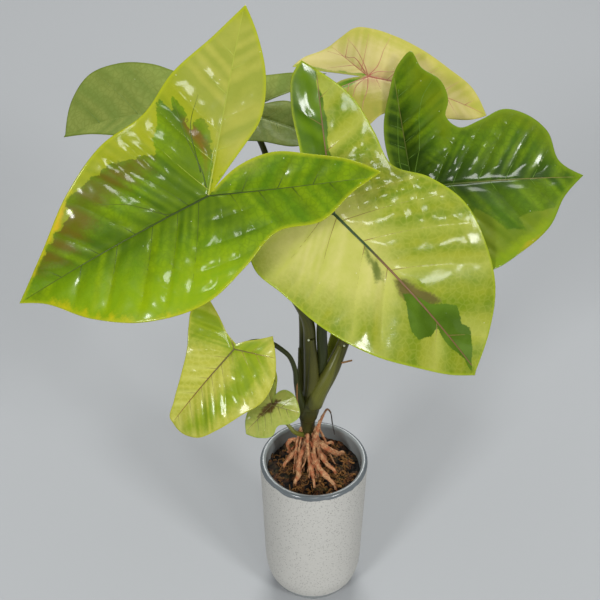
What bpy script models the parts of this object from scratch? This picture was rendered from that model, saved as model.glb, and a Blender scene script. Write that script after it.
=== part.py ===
"""A potted arrowhead vine (syngonium): a small stoneware pot full of soil, a short stem with its leaf
stalks, a crown of bare roots and seven arrow-shaped leaves.

Metres, +Z up. The origin is the middle of the pot's foot, and the plant faces -Y.
Run it with blender --background --python part.py, or from Blender's text editor.
"""
import math

import bmesh
import bpy
import numpy as np

# Lengths below are in millimetres, and MM turns them into metres where a mesh is made.
MM = 0.001

# Pot: a turned cup with a flat foot, a rounded heel, a slightly conical wall and a round lip.
POT_HEIGHT = 116.0
RIM_RADIUS = 35.0
WALL_TAPER = 3.0 / POT_HEIGHT
WALL = 4.0
FLOOR = 5.0
HEEL_HEIGHT = 28.0
FOOT_RADIUS = 17.5
HEEL_STEPS = 6
LIP_STEPS = 4
TURN_STEPS = 40

# Soil: fills the pot to a little under the lip, with an uneven top and a plain hole for the stem.
SOIL_TOP = 105.0
SOIL_BUMP = 1.2
TOUCH_GAP = 0.3
SOIL_RINGS = 7

# Stem: upright in its hole, behind the pot's middle.
STEM_X = -3.5
STEM_Y = 7.0
STEM_RADIUS = 4.2
STEM_HOLE_DEPTH = 18.0

# Blades: thickness, and how finely the CAD solids follow the outline.
BLADE_THICKNESS = 0.8
OUTLINE_STEP = 13.0
BLADE_RINGS = 6

# Round pieces are swept along routes with this many rings per route span.
ROUTE_STEPS = 3

# Materials: linear red, green, blue, and roughness.
MATERIALS = {
    "stoneware": ((0.46, 0.45, 0.44), 0.6),
    "earth": ((0.07, 0.035, 0.018), 0.9),
    "stalk_green": ((0.09, 0.13, 0.02), 0.4),
    "root_brown": ((0.32, 0.15, 0.08), 0.7),
    "dark_green_leaf": ((0.06, 0.16, 0.01), 0.3),
    "lime_leaf": ((0.40, 0.50, 0.05), 0.3),
    "cream_leaf": ((0.62, 0.62, 0.30), 0.4),
    "plain_green_leaf": ((0.13, 0.20, 0.05), 0.5),
}

# Each leaf lies in its own flat frame in millimetres: u runs from the stalk to the tip, v to the
# leaf's left. The outline runs round from the right side of the notch at the stalk, past the tip,
# to the notch's left side, and "sharp" numbers its points that are corners.
# "material" names its finish. "at" is where the stalk meets the blade. "pose" turns the flat frame by
# its heading, pitch and roll in degrees.
# "ribs" are the veins that the blade is creased along, as (direction, fold), in degrees.
# "bends" curl it, as (direction, start, length, angle): past the start, over the length, up by angle.
LEAVES = {
    "leaf_front_left": {
        "material": "dark_green_leaf",
        "at": (-55, -35, 338),
        "pose": (-160, -20, -46),
        "ribs": ((0, 12), (158, 18), (-128, 10)),
        "bends": ((0, 10, 90, -25), (-128, 40, 60, -12), (158, 20, 50, 10)),
        "outline": ((-4, -1.6), (-22, -11), (-42, -22), (-53, -38), (-60, -60), (-63, -80),
                    (-40, -71), (-12, -62), (10, -50), (34, -46), (60, -34), (88, -16), (117, 0),
                    (103, 7), (80, 27), (55, 42), (24, 48), (0, 41), (-22, 33), (-45, 39),
                    (-66, 33), (-82, 31), (-72, 19), (-56, 7), (-38, -4), (-20, -6)),
        "sharp": (0, 5, 12, 21),
    },
    "leaf_front_right": {
        "material": "lime_leaf",
        "at": (9, -15, 314),
        "pose": (-32, -33, 33),
        "ribs": ((0, 10), (142, 14), (-144, 10)),
        "bends": ((0, 20, 90, -30), (142, 15, 50, 12)),
        "outline": ((-4, 0), (-12, -5), (-24, -15), (-33, -27), (-28, -37), (-19, -46), (-8, -52),
                    (10, -51), (36, -49), (64, -40), (90, -25), (110, -12), (122, -2), (106, 19),
                    (88, 36), (66, 47), (44, 53), (22, 49), (3, 40), (-16, 46), (-38, 51),
                    (-56, 49), (-70, 45), (-68, 36), (-58, 25), (-40, 13), (-24, 3)),
        "sharp": (0, 12, 22),
    },
    "leaf_right": {
        "material": "dark_green_leaf",
        "at": (54.6, 30, 302.4),
        "pose": (-5, 10, 35),
        "ribs": ((0, 14), (95, 14), (-105, 10)),
        "bends": ((0, 10, 82, -12),),
        "outline": ((-5, 0), (-17, -27), (-19, -54), (-10, -74), (0, -78), (12, -60), (25, -54), (39, -56),
                    (56, -47), (72, -33), (84, -12), (96, 1), (83, 9), (77, 26), (66, 36), (54, 40),
                    (41, 35), (29, 32), (22, 40), (24, 49), (21, 62), (10, 74), (4, 86), (-3, 80),
                    (-10, 60), (-14, 37), (-11, 14)),
        "sharp": (0, 4, 11),
    },
    "leaf_back_right": {
        "material": "cream_leaf",
        "at": (31.6, 98, 338.5),
        "pose": (-14, -6, 28),
        "ribs": ((0, 10), (150, 8), (-140, 8)),
        "bends": ((0, 11, 85, -35),),
        "outline": ((-4, -1.4), (-18, -11), (-21, -23), (-15, -41), (-2, -49), (9, -36), (15, -26),
                    (26, -21), (47, -17), (66, -9), (76, 0), (62, 12), (45, 18), (26, 25), (9, 30),
                    (-4, 32), (-15, 31), (-23, 22), (-31, 11), (-41, 1), (-45, -6.4), (-30, -4.9),
                    (-15, -2.8)),
        "sharp": (0, 4, 10, 20),
    },
    "leaf_back_left": {
        "material": "plain_green_leaf",
        "at": (-43.2, 60, 335.9),
        "pose": (176, 0, -25),
        "ribs": ((0, 15), (160, 8), (-152, 8)),
        "bends": ((0, 10, 90, -30),),
        "outline": ((-4, -1.8), (-16, -8), (-28, -14.2), (-48, -28), (-28, -27), (-12, -24),
                    (10, -24), (34, -23), (54, -31), (76, -35), (96, -32), (108, -20), (114, 2),
                    (92, 8), (70, 16), (44, 23), (16, 24), (-14, 23), (-34, 25), (-50, 16), (-40, 2),
                    (-26, -7), (-14, -5)),
        "sharp": (0, 3, 12, 19),
    },
    "leaf_low_left": {
        "material": "lime_leaf",
        "at": (-46.7, -22, 226.8),
        "pose": (-150, -40, -35),
        "ribs": ((0, 12), (120, 10), (-120, 10)),
        "bends": ((0, 10, 45, -25),),
        "outline": ((-3, -1), (-4, -9), (-8, -19), (-12, -32), (-2, -34), (8, -28), (18, -20), (32, -13),
                    (48, -7), (60, -2), (61, 5), (54, 17), (40, 24), (24, 29), (10, 33), (-4, 29),
                    (-14, 20), (-21, 12), (-14, 7), (-8, 2)),
        "sharp": (0, 3, 17),
    },
    "leaf_lowest": {
        "material": "lime_leaf",
        "at": (-25.9, -16, 177.7),
        "pose": (-150, -35, -30),
        "ribs": ((0, 10), (120, 10), (-120, 10)),
        "bends": ((0, 5, 20, -15),),
        "outline": ((-2, -1), (-7, -4), (-11, -10), (-4, -13), (4, -10), (12, -8), (18, -5), (24, 1),
                    (19, 9), (12, 14), (6, 12), (0, 16), (-7, 17), (-12, 11), (-14, 5), (-12, -1),
                    (-7, -3)),
        "sharp": (0, 7),
    },
}

# Leaf stalks as hand-set routes of (x, y, z, radius). Each starts inside the stem, widens into the
# sheath that wraps it, and ends just under its blade.
STALK_END_DROP = 2.6
STALKS = {
    "leaf_front_left": ((-3, 4, 158, 4.6), (-2, 3, 177, 4.8), (-3, 4, 208, 3.9), (-5, 2, 230, 3.5),
                        (-16, -5, 258, 2.9), (-31, -14, 284, 2.3), (-43, -22, 304, 2.0),
                        (-49, -30, 324, 1.7)),
    "leaf_front_right": ((-1, 6, 160, 3.8), (2, 7, 173, 3.8), (4.5, 5, 199, 3.3), (4, 2, 225, 3.1),
                         (7, -4, 270, 2.4), (9, -12, 303, 1.8)),
    "leaf_right": ((0, 0, 163, 4.8), (3, 1, 174, 5.4), (10, 5, 187, 4.8), (18, 12, 205, 3.6),
                   (32, 20, 245, 2.7), (48, 27, 286, 1.9)),
    "leaf_back_right": ((-1, 9, 157, 3.8), (4, 12, 169, 3.8), (9, 16, 187, 3.4), (14, 25, 204, 3.2),
                        (20, 40, 230, 2.6), (22, 60, 275, 2.0), (27, 86, 322, 1.6)),
    "leaf_back_left": ((-5, 8, 155, 4.2), (-6, 9, 171, 4.6), (-6, 14, 188, 3.7), (-8, 28, 224, 2.7),
                       (-18, 44, 264, 2.2), (-30, 57, 312, 1.8)),
    "leaf_low_left": ((-7, 4, 150, 3.0), (-9, -1, 168, 2.6), (-11, -2, 181, 1.9), (-12, -3, 194, 1.6),
                      (-15, -4, 205, 1.5), (-20, -6, 213, 1.5), (-27, -8, 220, 1.4), (-37, -12, 224, 1.3)),
    "leaf_lowest": ((-6, 5, 132, 1.8), (-12, 2, 137, 1.4), (-15.5, 3, 141, 1.2), (-22, 6, 149, 1.1),
                    (-29, 6, 160, 1.0), (-32, 4, 177, 1.0), (-30, 1, 191, 1.0), (-26, -2, 195.5, 1.0),
                    (-23.8, -2.8, 189, 1.0), (-24.4, -6, 181, 1.0)),
}
STEM = ((STEM_X, STEM_Y, SOIL_TOP - STEM_HOLE_DEPTH + TOUCH_GAP, STEM_RADIUS),
        (STEM_X, STEM_Y, 128, STEM_RADIUS), (-4, 6.5, 143, 4.8), (-3.5, 5, 156, 6.8), (-2, 4, 172, 5.0))

# Bare roots: a crown that sleeves the stem, and roots that arch down from it onto the soil, as
# (x, y, z, radius). Their ends lie on the soil.
CROWN_BOTTOM = 118.0
CROWN_TOP = 129.0
CROWN_RADIUS = 7.4
ROOTS = (
    ((2.8, 5.2, 124, 1.7), (6, 4, 123, 1.9), (11, 5, 118, 1.7), (16, 9, 111, 1.5), (19, 13, 108.3, 1.1)),
    ((-1, 1, 121, 1.7), (0, -1, 118, 1.9), (4, -6, 112, 1.7), (9, -11, 109, 1.6), (13, -16, 108.2, 1.1)),
    ((1.9, 3.2, 120, 1.6), (5, 1, 117, 1.7), (9, -1, 111, 1.5), (13, -3, 108.3, 1.0)),
    ((-7.2, 1.6, 122, 1.6), (-9, -1, 118, 1.6), (-10, -4, 112, 1.5), (-10, -9, 109, 1.5),
     (-12, -13, 108.2, 1.1)),
    ((-9.4, 4.3, 121, 1.5), (-12, 3, 119, 1.5), (-16, 3, 113, 1.4), (-19, 2, 108.4, 1.0)),
    ((-10, 7.4, 124, 1.3), (-14, 7, 126, 1.3), (-17, 8, 121, 1.2), (-16, 9, 115, 1.1),
     (-14, 10, 109.0, 0.9)),
    ((-2.5, 0.6, 119, 1.4), (-2, -2, 114, 1.3), (-1, -8, 109, 1.2), (0, -14, 108.0, 0.9)),
    ((-3.2, 13.5, 121, 1.5), (-3, 17, 117, 1.5), (-5, 21, 111, 1.3), (-8, 24, 108.2, 1.0)),
    ((1.6, 11.2, 121, 1.5), (5, 14, 116, 1.5), (8, 19, 110, 1.3), (12, 22, 108.2, 1.0)),
    ((1.2, 1.8, 126, 1.8), (0.8, -0.4, 134, 1.8), (2.2, -1, 142, 1.6), (3.6, -0.8, 150, 1.3)),
)
# A thin aerial root hangs from the top of the last one.
AERIAL_ROOT = ((3.4, -0.8, 148, 0.9), (5.6, -1.6, 156, 0.7), (8, -2, 161.5, 0.6), (10.2, -3.5, 160, 0.6),
               (11.2, -6, 154, 0.6), (12.6, -10, 148, 0.5))


def new_material(name, colour, roughness):
    """A plain Principled material."""
    material = bpy.data.materials.new(name)
    material.use_nodes = True
    shader = material.node_tree.nodes["Principled BSDF"]
    shader.inputs["Base Color"].default_value = (*colour, 1.0)
    shader.inputs["Roughness"].default_value = roughness
    material.diffuse_color = (*colour, 1.0)
    return material


def new_collection(name):
    collection = bpy.data.collections.new(name)
    bpy.context.scene.collection.children.link(collection)
    return collection


def add_object(name, mesh, collection, material=None):
    thing = bpy.data.objects.new(name, mesh)
    collection.objects.link(thing)
    if material is not None:
        mesh.materials.clear()
        mesh.materials.append(material)
    return thing


def evaluated_mesh(thing, name):
    """The object's mesh with its modifiers worked out, and its loose seams welded."""
    bpy.context.view_layer.update()
    mesh = bpy.data.meshes.new_from_object(thing.evaluated_get(bpy.context.evaluated_depsgraph_get()))
    mesh.name = name
    shape = bmesh.new()
    shape.from_mesh(mesh)
    bmesh.ops.remove_doubles(shape, verts=shape.verts, dist=0.01 * MM)
    shape.to_mesh(mesh)
    shape.free()
    return mesh


def turned_mesh(name, profile, collection):
    """Turn a profile of (radius, height) points about Z; it runs down its outer side."""
    mesh = bpy.data.meshes.new(name)
    points = [(radius * MM, 0.0, height * MM) for radius, height in profile]
    mesh.from_pydata(points, [(i, i + 1) for i in range(len(points) - 1)], [])
    blank = add_object(name + "_profile", mesh, collection)
    screw = blank.modifiers.new("Turn", "SCREW")
    screw.steps = TURN_STEPS
    screw.render_steps = TURN_STEPS
    screw.use_merge_vertices = True
    screw.merge_threshold = 0.00001
    result = evaluated_mesh(blank, name)
    bpy.data.objects.remove(blank)
    return result


def wall_radius(height):
    """The pot's outer radius above its heel."""
    return RIM_RADIUS - WALL_TAPER * (POT_HEIGHT - height)


def heel_arc(foot_radius, bottom, inset):
    """Points of the rounded heel, from the wall down to the flat foot."""
    side = wall_radius(HEEL_HEIGHT) - inset
    rise = HEEL_HEIGHT - bottom
    angles = [math.pi / 2 * i / HEEL_STEPS for i in range(HEEL_STEPS + 1)]
    return [(foot_radius + (side - foot_radius) * math.cos(a), HEEL_HEIGHT - rise * math.sin(a))
            for a in angles]


def pot_profile():
    """Inner floor, up the inner wall, over the lip and down the outside to the foot."""
    inside = heel_arc(FOOT_RADIUS - 3.0, FLOOR, WALL)[::-1]
    lip_height = POT_HEIGHT - WALL / 2
    lip_middle = wall_radius(lip_height) - WALL / 2
    angles = [math.pi * i / (2 * LIP_STEPS) for i in range(2 * LIP_STEPS + 1)]
    lip = [(lip_middle - WALL / 2 * math.cos(a), lip_height + WALL / 2 * math.sin(a)) for a in angles]
    return [(0.0, FLOOR)] + inside + lip + heel_arc(FOOT_RADIUS, 0.0, 0.0) + [(0.0, 0.0)]


def soil_profile():
    """The soil's top, edge, side and bottom, a small gap inside the pot."""
    edge = wall_radius(SOIL_TOP) - WALL - TOUCH_GAP
    top = [(edge * i / SOIL_RINGS, SOIL_TOP) for i in range(SOIL_RINGS)]
    side = [(edge, SOIL_TOP - SOIL_BUMP)]
    bottom = heel_arc(FOOT_RADIUS - 3.0, FLOOR + TOUCH_GAP, WALL + TOUCH_GAP)
    return top + side + bottom + [(0.0, FLOOR + TOUCH_GAP)]


def soil_bump(x, y):
    """Uneven height of the soil's top in millimetres, at x and y in millimetres."""
    return 0.5 * SOIL_BUMP * (math.sin(0.31 * x + 0.9) * math.cos(0.27 * y) + math.sin(0.19 * x - 0.35 * y))


def make_soil(name, collection, cutters, material):
    mesh = turned_mesh(name, soil_profile(), collection)
    for vertex in mesh.vertices:
        if vertex.co.z > (SOIL_TOP - 0.5 * SOIL_BUMP) * MM:
            vertex.co.z += soil_bump(vertex.co.x / MM, vertex.co.y / MM) * MM
    soil = add_object(name, mesh, collection, material)
    hole = bmesh.new()
    hole_height = 2 * STEM_HOLE_DEPTH * MM
    hole_radius = (STEM_RADIUS + TOUCH_GAP) * MM
    bmesh.ops.create_cone(hole, cap_ends=True, segments=24, radius1=hole_radius, radius2=hole_radius,
                          depth=hole_height)
    hole_mesh = bpy.data.meshes.new("stem_hole")
    hole.to_mesh(hole_mesh)
    hole.free()
    cutter = add_object("stem_hole", hole_mesh, cutters)
    cutter.location = (STEM_X * MM, STEM_Y * MM, SOIL_TOP * MM)
    cutter.hide_render = True
    cutter.display_type = "WIRE"
    cut = soil.modifiers.new("Stem hole", "BOOLEAN")
    cut.operation = "DIFFERENCE"
    cut.object = cutter
    return soil


def smooth_run(points, steps):
    """A smooth curve through the points, with so many steps to each span."""
    knots = np.array(points, float)
    before = np.vstack([2 * knots[0] - knots[1], knots[:-1]])
    after = np.vstack([knots[1:], 2 * knots[-1] - knots[-2]])
    slopes = (after - before) / 2
    run = []
    for i in range(len(knots) - 1):
        for t in np.linspace(0.0, 1.0, steps, endpoint=False):
            run.append((2 * t**3 - 3 * t**2 + 1) * knots[i] + (t**3 - 2 * t**2 + t) * slopes[i]
                       + (3 * t**2 - 2 * t**3) * knots[i + 1] + (t**3 - t**2) * slopes[i + 1])
    run.append(knots[-1])
    return np.array(run)


def tube_mesh(name, route, collection):
    """A round solid along a route of (x, y, z, radius), closed at both ends."""
    run = smooth_run(route, ROUTE_STEPS)
    curve = bpy.data.curves.new(name, "CURVE")
    curve.dimensions = "3D"
    curve.bevel_depth = MM
    curve.bevel_resolution = 2
    curve.use_fill_caps = True
    spline = curve.splines.new("POLY")
    spline.points.add(len(run) - 1)
    for point, (x, y, z, radius) in zip(spline.points, run):
        point.co = (x * MM, y * MM, z * MM, 1.0)
        point.radius = radius
    cord = bpy.data.objects.new(name, curve)
    collection.objects.link(cord)
    mesh = evaluated_mesh(cord, name)
    bpy.data.objects.remove(cord)
    return mesh


def fuse(name, first, others, collection, material):
    """One solid from a first mesh and the meshes that grow from it."""
    pieces = new_collection(name + "_pieces")
    for i, mesh in enumerate(others):
        add_object(f"{name}_piece_{i}", mesh, pieces)
    base = add_object(name + "_base", first, collection)
    join = base.modifiers.new("Union", "BOOLEAN")
    join.operation = "UNION"
    join.operand_type = "COLLECTION"
    join.collection = pieces
    result = add_object(name, evaluated_mesh(base, name), collection, material)
    for thing in [base, *pieces.objects]:
        bpy.data.objects.remove(thing)
    bpy.data.collections.remove(pieces)
    result.data.shade_smooth()
    return result


def leaf_axes(pose):
    """The leaf's tip direction, left direction and upper normal, from heading, pitch and roll."""
    heading, pitch, roll = np.radians(pose)
    ahead = np.array([math.cos(heading), math.sin(heading), 0.0])
    level = np.array([-math.sin(heading), math.cos(heading), 0.0])
    tip = ahead * math.cos(pitch) + np.array([0.0, 0.0, math.sin(pitch)])
    upright = np.cross(tip, level)
    left = level * math.cos(roll) + upright * math.sin(roll)
    normal = upright * math.cos(roll) - level * math.sin(roll)
    return np.stack([tip, left, normal])


def crease(ribs, flat):
    """Height of the blade above its ribs: it rises to both sides of every rib, and rounds off between."""
    softness = 0.02
    sharpness = 4.0
    reach = np.hypot(flat[:, 0], flat[:, 1])
    angle = np.arctan2(flat[:, 1], flat[:, 0])
    total = np.zeros(len(flat))
    for direction, fold in ribs:
        away = np.abs((angle - math.radians(direction) + math.pi) % (2 * math.pi) - math.pi)
        slope = math.tan(math.radians(fold)) * np.sin(np.minimum(away, math.pi / 2))
        total += (slope + softness) ** -sharpness
    return reach * (total ** (-1 / sharpness) - softness)


def bend(points, direction, start, length, angle):
    """Curl the points past the start, along a direction, through a circular arc, then straight on."""
    along = np.array([math.cos(math.radians(direction)), math.sin(math.radians(direction))])
    past = points[:, :2] @ along - start
    radius = length / math.radians(angle)
    curled = np.clip(past, 0.0, length)
    turn = curled / radius
    beyond = np.maximum(past - length, 0.0)
    height = points[:, 2]
    forward = (radius - height) * np.sin(turn) + beyond * np.cos(turn)
    raised = radius - (radius - height) * np.cos(turn) + beyond * np.sin(turn)
    moved = points.copy()
    is_past = past > 0
    shift = (forward - past)[is_past]
    moved[is_past, 0] += shift * along[0]
    moved[is_past, 1] += shift * along[1]
    moved[is_past, 2] = raised[is_past]
    return moved


def leaf_points(leaf, flat):
    """Flat (u, v) points of a leaf, in millimetres, carried onto its creased and curled blade."""
    points = np.column_stack([flat, crease(leaf["ribs"], flat)])
    for direction, start, length, angle in leaf["bends"]:
        points = bend(points, direction, start, length, angle)
    return np.array(leaf["at"]) + points @ leaf_axes(leaf["pose"])


def smooth_outline(points, sharp, spacing):
    """A closed outline through the points, smooth except at the sharp ones, at about this spacing."""
    knots = np.array(points, float)
    count = len(knots)

    def slope(i):
        before, here, after = knots[i - 1], knots[i], knots[(i + 1) % count]
        near = np.linalg.norm(here - before)
        far = np.linalg.norm(after - here)
        return ((here - before) / near * far + (after - here) / far * near) / (near + far)

    loop = []
    for i in range(count):
        j = (i + 1) % count
        chord = knots[j] - knots[i]
        length = np.linalg.norm(chord)
        leave = None if i in sharp else slope(i) * length
        arrive = None if j in sharp else slope(j) * length
        if leave is None and arrive is None:
            leave = arrive = chord
        elif leave is None:
            leave = 1.5 * chord - 0.5 * arrive
        elif arrive is None:
            arrive = 1.5 * chord - 0.5 * leave
        for t in np.linspace(0.0, 1.0, max(1, round(length / spacing)), endpoint=False):
            loop.append((2 * t**3 - 3 * t**2 + 1) * knots[i] + (t**3 - 2 * t**2 + t) * leave
                        + (3 * t**2 - 2 * t**3) * knots[j] + (t**3 - t**2) * arrive)
    loop.append(knots[0])
    return np.array(loop)


def make_blade(name, leaf, collection, material):
    """A thin solid blade: a grid wrapped round the stalk's end, out to the outline, then thickened."""
    outline = smooth_outline(leaf["outline"], leaf["sharp"], OUTLINE_STEP)
    columns = len(outline) - 1
    sheet = bmesh.new()
    bmesh.ops.create_grid(sheet, x_segments=columns, y_segments=BLADE_RINGS, size=0.5)
    verts = list(sheet.verts)
    across = np.array([round((vert.co.x + 0.5) * columns) for vert in verts])
    outward = np.array([vert.co.y + 0.5 for vert in verts])
    places = leaf_points(leaf, outline[across] * outward[:, None])
    for vert, place in zip(verts, places):
        vert.co = place * MM
    bmesh.ops.remove_doubles(sheet, verts=sheet.verts, dist=0.01 * MM)
    bmesh.ops.recalc_face_normals(sheet, faces=sheet.faces)
    bmesh.ops.triangulate(sheet, faces=sheet.faces)
    mesh = bpy.data.meshes.new(name)
    sheet.to_mesh(mesh)
    sheet.free()
    blade = add_object(name, mesh, collection, material)
    thicken = blade.modifiers.new("Thickness", "SOLIDIFY")
    thicken.thickness = BLADE_THICKNESS * MM
    thicken.offset = 0.0
    mesh.shade_smooth()
    return blade


def make_stem(name, collection, material):
    """The stem and all its leaf stalks, grown together."""
    stalks = []
    for leaf_name, route in STALKS.items():
        leaf = LEAVES[leaf_name]
        end = np.array(leaf["at"]) - STALK_END_DROP * leaf_axes(leaf["pose"])[2]
        end_radius = 0.85 * route[-1][3]
        stalks.append(tube_mesh(leaf_name + "_stalk", [*route, (*end, end_radius)], collection))
    return fuse(name, tube_mesh(name, STEM, collection), stalks, collection, material)


def make_roots(name, collection, material):
    """A crown round the stem, with the bare roots that grow from it."""
    inner = STEM_RADIUS + TOUCH_GAP
    profile = [(inner, CROWN_BOTTOM), (inner, CROWN_TOP), (CROWN_RADIUS - 1, CROWN_TOP),
               (CROWN_RADIUS, CROWN_TOP - 3), (CROWN_RADIUS, CROWN_BOTTOM + 3),
               (CROWN_RADIUS - 1, CROWN_BOTTOM), (inner, CROWN_BOTTOM)]
    crown = turned_mesh(name, profile, collection)
    for vertex in crown.vertices:
        vertex.co.x += STEM_X * MM
        vertex.co.y += STEM_Y * MM
    strands = [tube_mesh(f"{name}_{i}", route, collection) for i, route in enumerate((*ROOTS, AERIAL_ROOT))]
    return fuse(name, crown, strands, collection, material)


def main():
    for thing in list(bpy.data.objects):
        bpy.data.objects.remove(thing)
    plant = new_collection("potted_syngonium")
    cutters = new_collection("cutters")

    finish = {name: new_material(name, *look) for name, look in MATERIALS.items()}
    pot = add_object("pot", turned_mesh("pot", pot_profile(), plant), plant, finish["stoneware"])
    pot.data.shade_smooth()
    make_soil("soil", plant, cutters, finish["earth"])
    make_stem("stem", plant, finish["stalk_green"])
    make_roots("roots", plant, finish["root_brown"])
    for name, leaf in LEAVES.items():
        make_blade(name, leaf, plant, finish[leaf["material"]])


main()
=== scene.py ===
# %% [markdown]
# A potted arrowhead vine, dressed for its portrait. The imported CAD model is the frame: it says where
# the pot, the soil, the stem, the roots and the seven blades are. This script gives each of them its
# fine surface and its finish. Every piece is a surface worked out with numpy, in millimetres, as a
# function of two parameters, and it stands exactly where its CAD solid stands.

# %% The frame
import math

import bpy
import numpy as np
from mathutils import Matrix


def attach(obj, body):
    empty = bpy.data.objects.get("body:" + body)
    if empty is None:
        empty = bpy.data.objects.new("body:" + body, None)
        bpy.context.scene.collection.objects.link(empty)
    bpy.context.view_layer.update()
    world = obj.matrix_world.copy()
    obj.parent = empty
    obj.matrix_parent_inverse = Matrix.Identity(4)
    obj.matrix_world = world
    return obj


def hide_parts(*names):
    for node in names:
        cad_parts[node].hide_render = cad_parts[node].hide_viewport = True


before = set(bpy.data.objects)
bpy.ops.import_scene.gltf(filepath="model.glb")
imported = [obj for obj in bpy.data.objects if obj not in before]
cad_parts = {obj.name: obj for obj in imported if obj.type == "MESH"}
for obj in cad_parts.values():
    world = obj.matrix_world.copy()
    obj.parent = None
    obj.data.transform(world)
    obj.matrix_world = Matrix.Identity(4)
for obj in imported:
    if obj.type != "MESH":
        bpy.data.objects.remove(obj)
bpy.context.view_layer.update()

MM = 0.001

# %% [markdown]
# The camera stands where the photographer stood: in front of the pot, above the leaves, and tilted
# down, so that the leaves are seen from above and the pot's foot comes close to the lower edge of the
# picture. It could be aimed at a target, but a place and one tilt say the same with fewer parts. The
# pot hardly narrows towards its foot in the picture, which is how the distance was found.

# %% The camera
CAMERA_PLACE = (-0.009, -0.504, 0.632)
CAMERA_TILT = 52.5
CAMERA_LENS = 66.0
SENSOR_WIDTH = 36.0


def make_camera():
    """A camera that looks along +Y, turned up from straight down by the tilt, in degrees."""
    camera = bpy.data.cameras.new("portrait_camera")
    camera.lens = CAMERA_LENS
    camera.sensor_width = SENSOR_WIDTH
    stand = bpy.data.objects.new("portrait_camera", camera)
    stand.location = CAMERA_PLACE
    stand.rotation_euler = (math.radians(CAMERA_TILT), 0.0, 0.0)
    bpy.context.scene.collection.objects.link(stand)
    bpy.context.scene.camera = stand


make_camera()
print("camera:", CAMERA_PLACE, "m, tilt", CAMERA_TILT, "degrees, lens", CAMERA_LENS, "mm")

# %% [markdown]
# Every material below is a small graph of nodes. One helper adds a node, sets it and links it, and
# hands back one of its outputs, so that a graph reads from the pattern to the shader. Colours are
# written as the hex values that a picture editor shows, and one function makes them linear light.

# %% Helpers for materials
def linear(hex_colour):
    """An sRGB hex colour as linear red, green, blue and alpha: above a small foot, each channel is
    raised to the power 2.4."""
    channels = np.array([int(hex_colour[i:i + 2], 16) / 255 for i in (1, 3, 5)])
    curve = np.where(channels > 0.04045, ((channels + 0.055) / 1.055) ** 2.4, channels / 12.92)
    return (*curve.tolist(), 1.0)


def add(tree, kind, inputs=None, output=0, **settings):
    """Adds a node, sets its settings, and fills its inputs with plain values or other nodes' outputs."""
    node = tree.nodes.new("ShaderNode" + kind)
    for key, value in settings.items():
        setattr(node, key, value)
    for key, value in (inputs or {}).items():
        if isinstance(value, bpy.types.NodeSocket):
            tree.links.new(value, node.inputs[key])
        else:
            node.inputs[key].default_value = value
    return node.outputs[output] if node.outputs else None


def new_finish(name):
    """An empty material and its node tree."""
    finish = bpy.data.materials.new(name)
    finish.use_nodes = True
    finish.node_tree.nodes.clear()
    return finish, finish.node_tree


# %% [markdown]
# The pieces are made from grids of points. A grid has rows and columns, its quads join each point to
# the next one along and the next one out, and it may close up sideways, as a tube and a blade do. A
# row that would shrink to a single point is left out, and a fan of triangles closes the hole instead,
# so that no face has zero area.

# %% Helpers for meshes
def quads(rows, columns, first=0, flip=False):
    """Faces of a grid that closes sideways, with its points numbered row by row from first."""
    row = np.arange(rows - 1)[:, None] * columns
    here = np.arange(columns)[None, :]
    beside = (here + 1) % columns
    faces = np.stack([row + here, row + columns + here, row + columns + beside, row + beside], axis=-1)
    faces = faces.reshape(-1, 4) + first
    return (faces[:, ::-1] if flip else faces).tolist()


def fan(centre, first, columns, flip=False):
    """Triangles from one point to a closed row of points."""
    here = np.arange(columns)
    faces = np.stack([np.full(columns, centre), first + here, first + (here + 1) % columns], axis=-1)
    return (faces[:, ::-1] if flip else faces).tolist()


def closed_skin(rows, start, end):
    """Points and faces of a closed body from rows of points and the two poles beyond its first and
    last row."""
    count, columns = rows.shape[:2]
    points = np.vstack([rows.reshape(-1, 3), [start], [end]])
    faces = fan(count * columns, 0, columns) + quads(count, columns)
    return points, faces + fan(count * columns + 1, (count - 1) * columns, columns, flip=True)


def make_piece(name, points, faces, finishes, face_finish=None, fields=None, flat=None):
    """A smooth mesh object at the origin from points in millimetres, with its named fields and its
    flat map, riding on the root body."""
    mesh = bpy.data.meshes.new(name)
    mesh.from_pydata((np.asarray(points) * MM).tolist(), [], faces)
    for finish in finishes:
        mesh.materials.append(finish)
    if face_finish is not None:
        mesh.polygons.foreach_set("material_index", np.asarray(face_finish, np.int32))
    for field, values in (fields or {}).items():
        values = np.asarray(values, np.float32)
        kind, item = ("FLOAT", "value") if values.ndim == 1 else ("FLOAT_VECTOR", "vector")
        mesh.attributes.new(field, kind, "POINT").data.foreach_set(item, values.ravel())
    if flat is not None:
        corners = np.zeros(len(mesh.loops), np.int32)
        mesh.loops.foreach_get("vertex_index", corners)
        mesh.uv_layers.new(name="flat").data.foreach_set("uv", np.asarray(flat, np.float32)[corners].ravel())
    mesh.validate()
    mesh.shade_smooth()
    piece = bpy.data.objects.new(name, mesh)
    bpy.context.scene.collection.objects.link(piece)
    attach(piece, "root")
    triangles = sum(len(face) - 2 for face in faces)
    print(f"{name}: {len(points)} points, {triangles} triangles")
    return piece


def ripple(places, wavelength, seed, waves=14):
    """Soft bumps of about unit height: the mean of plane waves of this length in random directions,
    scaled by the root of their number."""
    draw = np.random.default_rng(seed)
    places = np.asarray(places, float)
    headings = draw.normal(size=(waves, places.shape[-1]))
    headings /= np.linalg.norm(headings, axis=1)[:, None]
    lengths = wavelength * draw.uniform(0.7, 1.4, waves)
    starts = draw.uniform(0.0, 2 * math.pi, waves)
    return np.cos(places @ (headings / lengths[:, None]).T * 2 * math.pi + starts).sum(-1) / math.sqrt(waves)


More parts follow.
